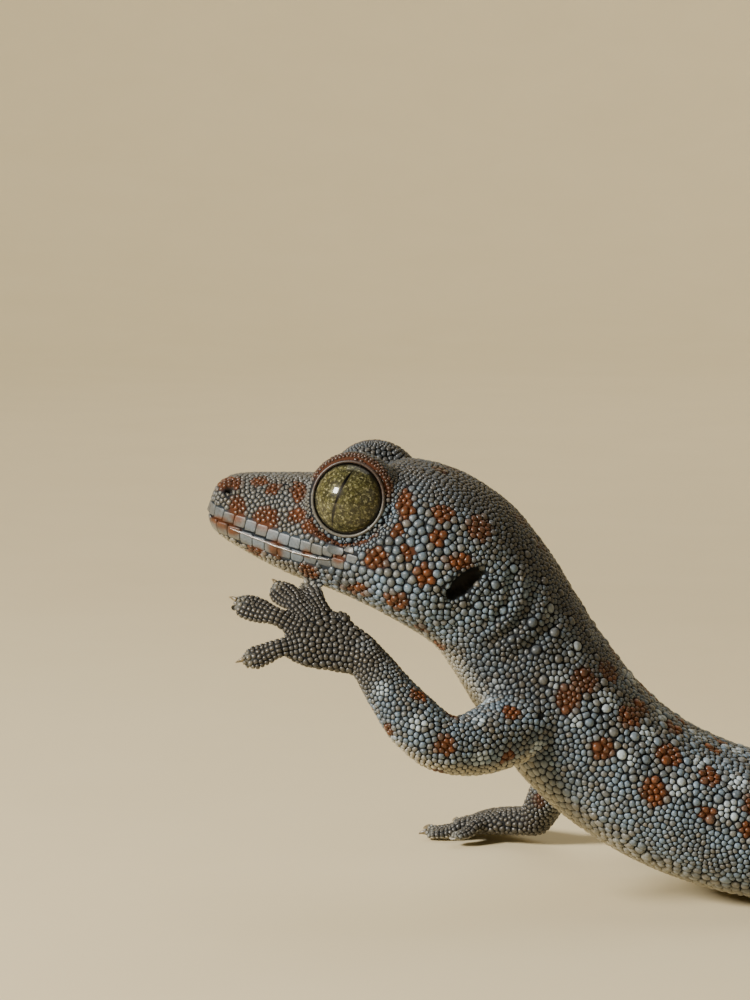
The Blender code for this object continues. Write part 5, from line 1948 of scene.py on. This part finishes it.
# Sides and rings of a scale: on most of the body, on the pieces seen from near, and on the lips
COARSE_SCALE, FINE_SCALE, LIP_SCALE = (9, COARSE_RINGS), (10, FINE_RINGS), (24, PLATE_RINGS)
FINE_PIECES = ("head", "cheek", "hand", "neck", "trunk", "arm_left")
# The scales' tone: how it varies, its limits, the knobs', and the lip scutes', with their warmth
TONE_VARIES, TONE_LIMITS, KNOB_TONE = 0.1, (0.72, 1.3), 1.1
LIP_TONE, UPPER_LIP_TONE, LIP_WARMTH = (0.78, 0.88), 0.88, (0.5, 0.8)
# The snout's scales are browner, darker and flatter: where that fades, and by how much
SNOUT_FADE, SNOUT_DARKER = (14, 26), 0.24
SNOUT_FLAT, SNOUT_FLATTER = (10, 24), 0.25
# At what share of a mark a whole scale takes its colour, and how sharply
CRISP, ORANGE_STEP, PALE_STEP = (0.3, 0.5), (-0.36, 0.3), (-0.3, 0.3)
# How far round a piece lie the scales that cut its outermost ones
NEIGHBOURHOOD = 4


class Coat:
    """Every scale of the animal: its place, shape, marks and piece."""

    def __init__(self, surface, markings):
        self.markings = markings
        self.points, self.normals, self.radii, self.kinds = make_sites(surface)
        self.marks = markings.at(self.points, self.normals)
        self.lips = self.kinds == LABIAL
        self.place = in_head_frame(self.points)
        self.below_mouth = self.place[:, 2] < mouth_level(self.place[:, 0])
        self.colour_scales()
        self.heights = np.minimum(self.radii * HEIGHT[self.kinds], HEIGHT_LIMIT)
        self.heights *= 1 - SNOUT_FLATTER * (1 - smoothstep(*SNOUT_FLAT, self.place[:, 0]))
        self.names, self.chart = region_of(self.points)
        self.names[self.lips] = "scales_lips"
        width, height = LIP_CHART
        row = np.where(self.below_mouth, 0.5, 0)
        along = np.stack([0.5 + self.place[:, 1] / width, 0.02 + self.place[:, 0] / height + row], axis=1)
        self.chart[self.lips] = along[self.lips]

    def colour_scales(self):
        """Tone and warmth of each scale, and its marks, which it takes as a whole."""
        count, lips, snoutward = len(self.points), self.lips, self.place[:, 0]
        tone = RANDOM.normal(1.0, TONE_VARIES, count) * np.where(self.kinds == TUBERCLE, KNOB_TONE, 1.0)
        tone = np.clip(tone, *TONE_LIMITS)
        tone[lips] = RANDOM.uniform(*LIP_TONE, lips.sum())
        tone[lips & ~self.below_mouth] *= UPPER_LIP_TONE
        warmth = RANDOM.random(count) ** 2
        coolest, warmest = LIP_WARMTH
        warmth = np.where(lips, coolest + (warmest - coolest) * warmth, warmth)
        snout = (1 - smoothstep(*SNOUT_FADE, snoutward)) * ~lips
        tone *= 1 - SNOUT_DARKER * snout * (1 - self.marks[:, 2])
        warmth = np.maximum(np.maximum(warmth, snout), smoothstep(0.02, 0.4, self.marks[:, 0]))
        self.tone, self.warmth = tone, warmth
        crisp = RANDOM.uniform(*CRISP, count)
        for column, step in ((0, ORANGE_STEP), (1, PALE_STEP)):
            self.marks[:, column] = smoothstep(*step, self.marks[:, column] - crisp)

    def outlines_of(self, here, sides):
        """The outlines of the scales at these indices, cut by all those round them."""
        middle = self.points[here].mean(0)
        reach = np.abs(self.points[here] - middle).max() + NEIGHBOURHOOD
        margin = np.flatnonzero(np.abs(self.points - middle).max(1) < reach)
        outlines = cell_outlines(
            self.points[margin], self.normals[margin], self.radii[margin], self.kinds[margin], sides
        )
        inside = np.isin(margin, here)
        return [values[inside] for values in outlines]

    def piece(self, name):
        """The mesh of one piece of the coat."""
        here = np.flatnonzero(self.names == name)
        fine = any(word in name for word in FINE_PIECES)
        sides, profile = LIP_SCALE if name == "scales_lips" else FINE_SCALE if fine else COARSE_SCALE
        outlines = self.outlines_of(here, sides)
        points, normals = self.points[here], self.normals[here]
        gaps, heights = GAP[self.kinds[here]], self.heights[here]
        vertices, relief = domes(points, normals, gaps, heights, outlines, profile)
        vertices[:, :, 2] = np.maximum(vertices[:, :, 2], FLOOR_CLEARANCE)
        count, each = vertices.shape[:2]
        template = dome_template(sides, len(profile))
        triangles = (template[None] + (np.arange(count) * each)[:, None, None]).reshape(-1, 3)
        mesh = mesh_of(name, vertices.reshape(-1, 3), triangles)
        marks = np.repeat(self.marks[here], each, axis=0)
        if name == "scales_lips":
            marks = self.markings.at(vertices.reshape(-1, 3), np.repeat(normals, each, axis=0))
        tone, warmth = np.repeat(self.tone[here], each), np.repeat(self.warmth[here], each)
        set_marks(mesh, marks, relief.ravel(), tone, warmth)
        offset = vertices - points[:, None]
        size = np.abs(offset).max((1, 2))[:, None]
        patch = np.stack([(offset * axis[:, None]).sum(2) / size for axis in outlines[:2]], axis=2)
        uv = self.chart[here][:, None] + patch * PATCH / 2
        layer = mesh.uv_layers.new(name="OFBake")
        layer.data.foreach_set("uv", uv.reshape(-1, 2)[triangles.ravel()].astype(np.float32).ravel())
        return mesh


def make_scales(surface, markings, material, lip_material):
    """All the scales, in one mesh for each region of the body."""
    coat = Coat(surface, markings)
    for name in sorted(set(coat.names)):
        finished(coat.piece(name), name, lip_material if name == "scales_lips" else material)


# The plates under a toe: their step, where they end, half a plate's length and thickness, how far within the
# pad's edge and underside it keeps, and how many degrees round it reaches
LAMELLA_STEP, LAMELLAE_END = 0.72, 0.96
LAMELLA_LENGTH, LAMELLA_THICKNESS = 0.345, 0.18
LAMELLA_INSET, LAMELLA_SUNK, LAMELLA_TURN = 0.25, 0.12, 66


def lamella(toe, centre, side, up, share):
    """One plate: a bar across the pad's underside, thinner towards both ends."""
    half, _, drop = toe.shape(share)
    onward = up.cross(side)
    rings = []
    for turn in np.radians(np.linspace(-LAMELLA_TURN, LAMELLA_TURN, 9)):
        out = side * sin(turn) * (half - LAMELLA_INSET)
        down = up * cos(turn) ** 0.6 * (drop - LAMELLA_SUNK)
        thin = cos(turn * 0.9)
        length, thick = LAMELLA_LENGTH * thin, LAMELLA_THICKNESS * thin
        rings.append(ring(centre + out - down, onward, up, length, thick, thick, 8, ROUND))
    return skin_rings(rings)


def make_lamellae(material):
    """The ridged plates under each toe's pad, by which the animal clings."""
    bars = []
    for toe in TOES:
        count = round(toe.length() * (LAMELLAE_END - PAD_START) / LAMELLA_STEP)
        shares = np.linspace(PAD_START + 0.03, LAMELLAE_END, count)
        bars += [lamella(toe, *frame) for frame in along_path(toe.line, shares, toe.back)]
    mesh = joined(bars, "toe_pads")
    points = np.maximum(read(mesh, "co"), [-999, -999, FLOOR_CLEARANCE])
    mesh.vertices.foreach_set("co", into_frame(points).ravel())
    mesh.update()
    finished(mesh, "toe_pads", material)


# The parts of the mouth line where the moist rim of the lower lip shows
LIP_SPANS = [(0.07, 0.36), (0.64, 0.93)]
# How far the rim lies below the mouth line, how far out of the skin, and half its thickness
LIP_EDGE = (0.3, 0.46, 0.16)


def make_lip_edge(surface, material):
    """The moist rim of the lower lip, a thin line in the parting of the mouth."""
    line, total = mouth_path()
    below, out_of_skin, half = LIP_EDGE
    threads = []
    for first, last in LIP_SPANS:
        shares = np.linspace(first, last, 60)
        middles = np.array([line(share * total) for share in shares]) - np.array(UPWARD) * below
        places, normals = surface.nearest(middles)
        for _ in range(12):
            places[1:-1] = (places[:-2] + 2 * places[1:-1] + places[2:]) / 4
            normals[1:-1] = (normals[:-2] + 2 * normals[1:-1] + normals[2:]) / 4
        rings = []
        for share, place, out, ahead in zip(shares, places, unit(normals), np.gradient(places, axis=0)):
            thick = half * sin(pi * (share - first + 0.01) / (last - first + 0.02)) ** 0.4
            side = Vector(ahead).cross(Vector(out)).normalized()
            middle = Vector(place + out * out_of_skin)
            rings.append(ring(middle, side, Vector(out), thick, thick, thick, 10, ROUND))
        threads.append(skin_rings(rings))
    mesh = carry_into_frame(joined(threads, "lip_edge"))
    finished(mesh, "lip_edge", material)


# The smooth rim of each lid: its distance from the opening's edge, its half width and its height
LID_RIM = (0.14, 0.25, 0.24)


# Angles about the eye between which it is rusty, and its tone and warmth
RUSTY_START, RUSTY_END = (-15, 35), (165, 200)
RIM_TONE, RIM_WARMTH = 0.75, 0.9


def turned_mesh(name, outline, closed, centre, axis):
    """An outline turned once about an axis."""
    bm = bmesh.new()
    verts = [bm.verts.new(point) for point in outline]
    following = verts[1:] + verts[:1] if closed else verts[1:]
    edges = [bm.edges.new(pair) for pair in zip(verts, following)]
    bmesh.ops.spin(
        bm, geom=verts + edges, cent=centre, axis=axis, angle=2 * pi, steps=96, use_merge=True,
        use_duplicate=False,
    )
    if not closed:
        bmesh.ops.remove_doubles(bm, verts=bm.verts, dist=0.0001)
    bmesh.ops.recalc_face_normals(bm, faces=bm.faces)
    return into_mesh(bm, name)


def make_lid_rims(material):
    """The smooth, bare edge of the lids, a low ridge right against the eyeball."""
    out, half, rise = LID_RIM
    for (_, centre, axis), name in zip(EYES, ("lid_rim_left", "lid_rim_right")):
        tailward, _ = square_to(axis)
        reach = EYE_OPENING + out
        height = sqrt((EYE_RADIUS + LID_EDGE) ** 2 - reach**2) + rise / 2
        first = centre + tailward * reach + axis * height
        section = ring(first, tailward, axis, half, rise, rise, 16, ROUND)
        mesh = turned_mesh(name, section, True, centre, axis)
        points = read(mesh, "co")
        _, _, turn = in_eye_frame(points, centre, axis)
        above = from_to(RUSTY_START, RUSTY_END, turn)
        marks = np.stack([0.8 * above, 0 * above, 0.2 * (1 - above), 0.3 + 0.4 * above], axis=1)
        plain = np.ones(len(points))
        set_marks(mesh, marks, plain, plain * RIM_TONE, plain * RIM_WARMTH)
        finished(carry_into_frame(mesh), name, material)


# The round stage in metres: its flat floor's radius, the curve up into the wall, and the wall's height
STAGE_FLAT, STAGE_CURVE, STAGE_HEIGHT = 1.0, 0.8, 2.2
# Each light: its name, place, aim, width, power and colour. The back light falls on the wall alone.
ANIMAL, BACKDROP = (-0.09, -0.01, 0.045), (0.0, 1.8, 0.9)
LIGHTS = [
    ("key", (-0.77, -0.53, 0.5), ANIMAL, 0.22, 20, (1.0, 0.95, 0.87)),
    ("fill", (0.7, -0.8, 0.35), ANIMAL, 0.9, 0.8, (0.88, 0.94, 1.0)),
    ("top", (0.0, 0.45, 0.9), ANIMAL, 0.8, 2.5, (1.0, 0.98, 0.94)),
    ("back", (0.0, 0.6, 1.2), BACKDROP, 0.8, 12, (1.0, 0.96, 0.88)),
]
ROOM_COLOUR, ROOM_STRENGTH = "#cfcabf", 0.08


def make_floor(material):
    """A pale floor that sweeps up all round into a wall."""
    profile = [(0.0, 0.0), (STAGE_FLAT, 0.0)]
    for turn in np.radians(np.linspace(0, 90, 17)[1:]):
        profile.append((STAGE_FLAT + STAGE_CURVE * sin(turn), STAGE_CURVE * (1 - cos(turn))))
    profile.append((STAGE_FLAT + STAGE_CURVE, STAGE_HEIGHT))
    outline = [(away, 0, height) for away, height in profile]
    mesh = turned_mesh("floor", outline, False, (0, 0, 0), (0, 0, 1))
    mesh.shade_smooth()
    mesh.materials.append(material)
    new_object(mesh, "floor")


def make_lights():
    """Soft studio lights, and the faint light of the room."""
    for name, place, target, size, power, colour in LIGHTS:
        light = bpy.data.lights.new(name, "AREA")
        light.energy, light.size, light.color = power, size, colour
        made = new_object(light, name)
        made.location = place
        aim = Vector(target) - Vector(place)
        made.rotation_euler = aim.to_track_quat("-Z", "Y").to_euler()
    world = bpy.data.worlds.new("studio")
    bpy.context.scene.world = world
    world.use_nodes = True
    background = world.node_tree.nodes["Background"]
    background.inputs["Color"].default_value = linear(ROOM_COLOUR)
    background.inputs["Strength"].default_value = ROOM_STRENGTH


def make_camera():
    """The camera, where the photograph's was."""
    camera = bpy.data.cameras.new("camera")
    camera.lens = LENS
    camera.clip_end = 10
    made = new_object(camera, "camera")
    made.location = into_frame([CAMERA])[0]
    made.rotation_euler = (CAMERA_TARGET - CAMERA).to_track_quat("-Z", "Y").to_euler()
    bpy.context.scene.camera = made


def main():
    surface = make_surface(fused_skin())
    markings = Markings(surface)
    # The second number of each scale material is the most painted crease shade that its low relief takes; the
    # skin between the scales is nearly all painted crease shade
    make_skin(surface, markings, scale_material("bare skin", 0.97, 0.7, 0.1))
    scutes = scale_material("lip scute keratin", 0.5, 0.42)
    make_scales(surface, markings, scale_material("scale keratin", 0.94, 0.34), scutes)
    make_lip_edge(surface, moist_material())
    make_lid_rims(scale_material("lid skin", 0.0, 0.36))
    make_lamellae(pad_material())
    make_eyes(eye_material())
    make_claws(claw_material())
    make_floor(floor_material())
    make_lights()
    make_camera()


main()
bpy.context.view_layer.update()
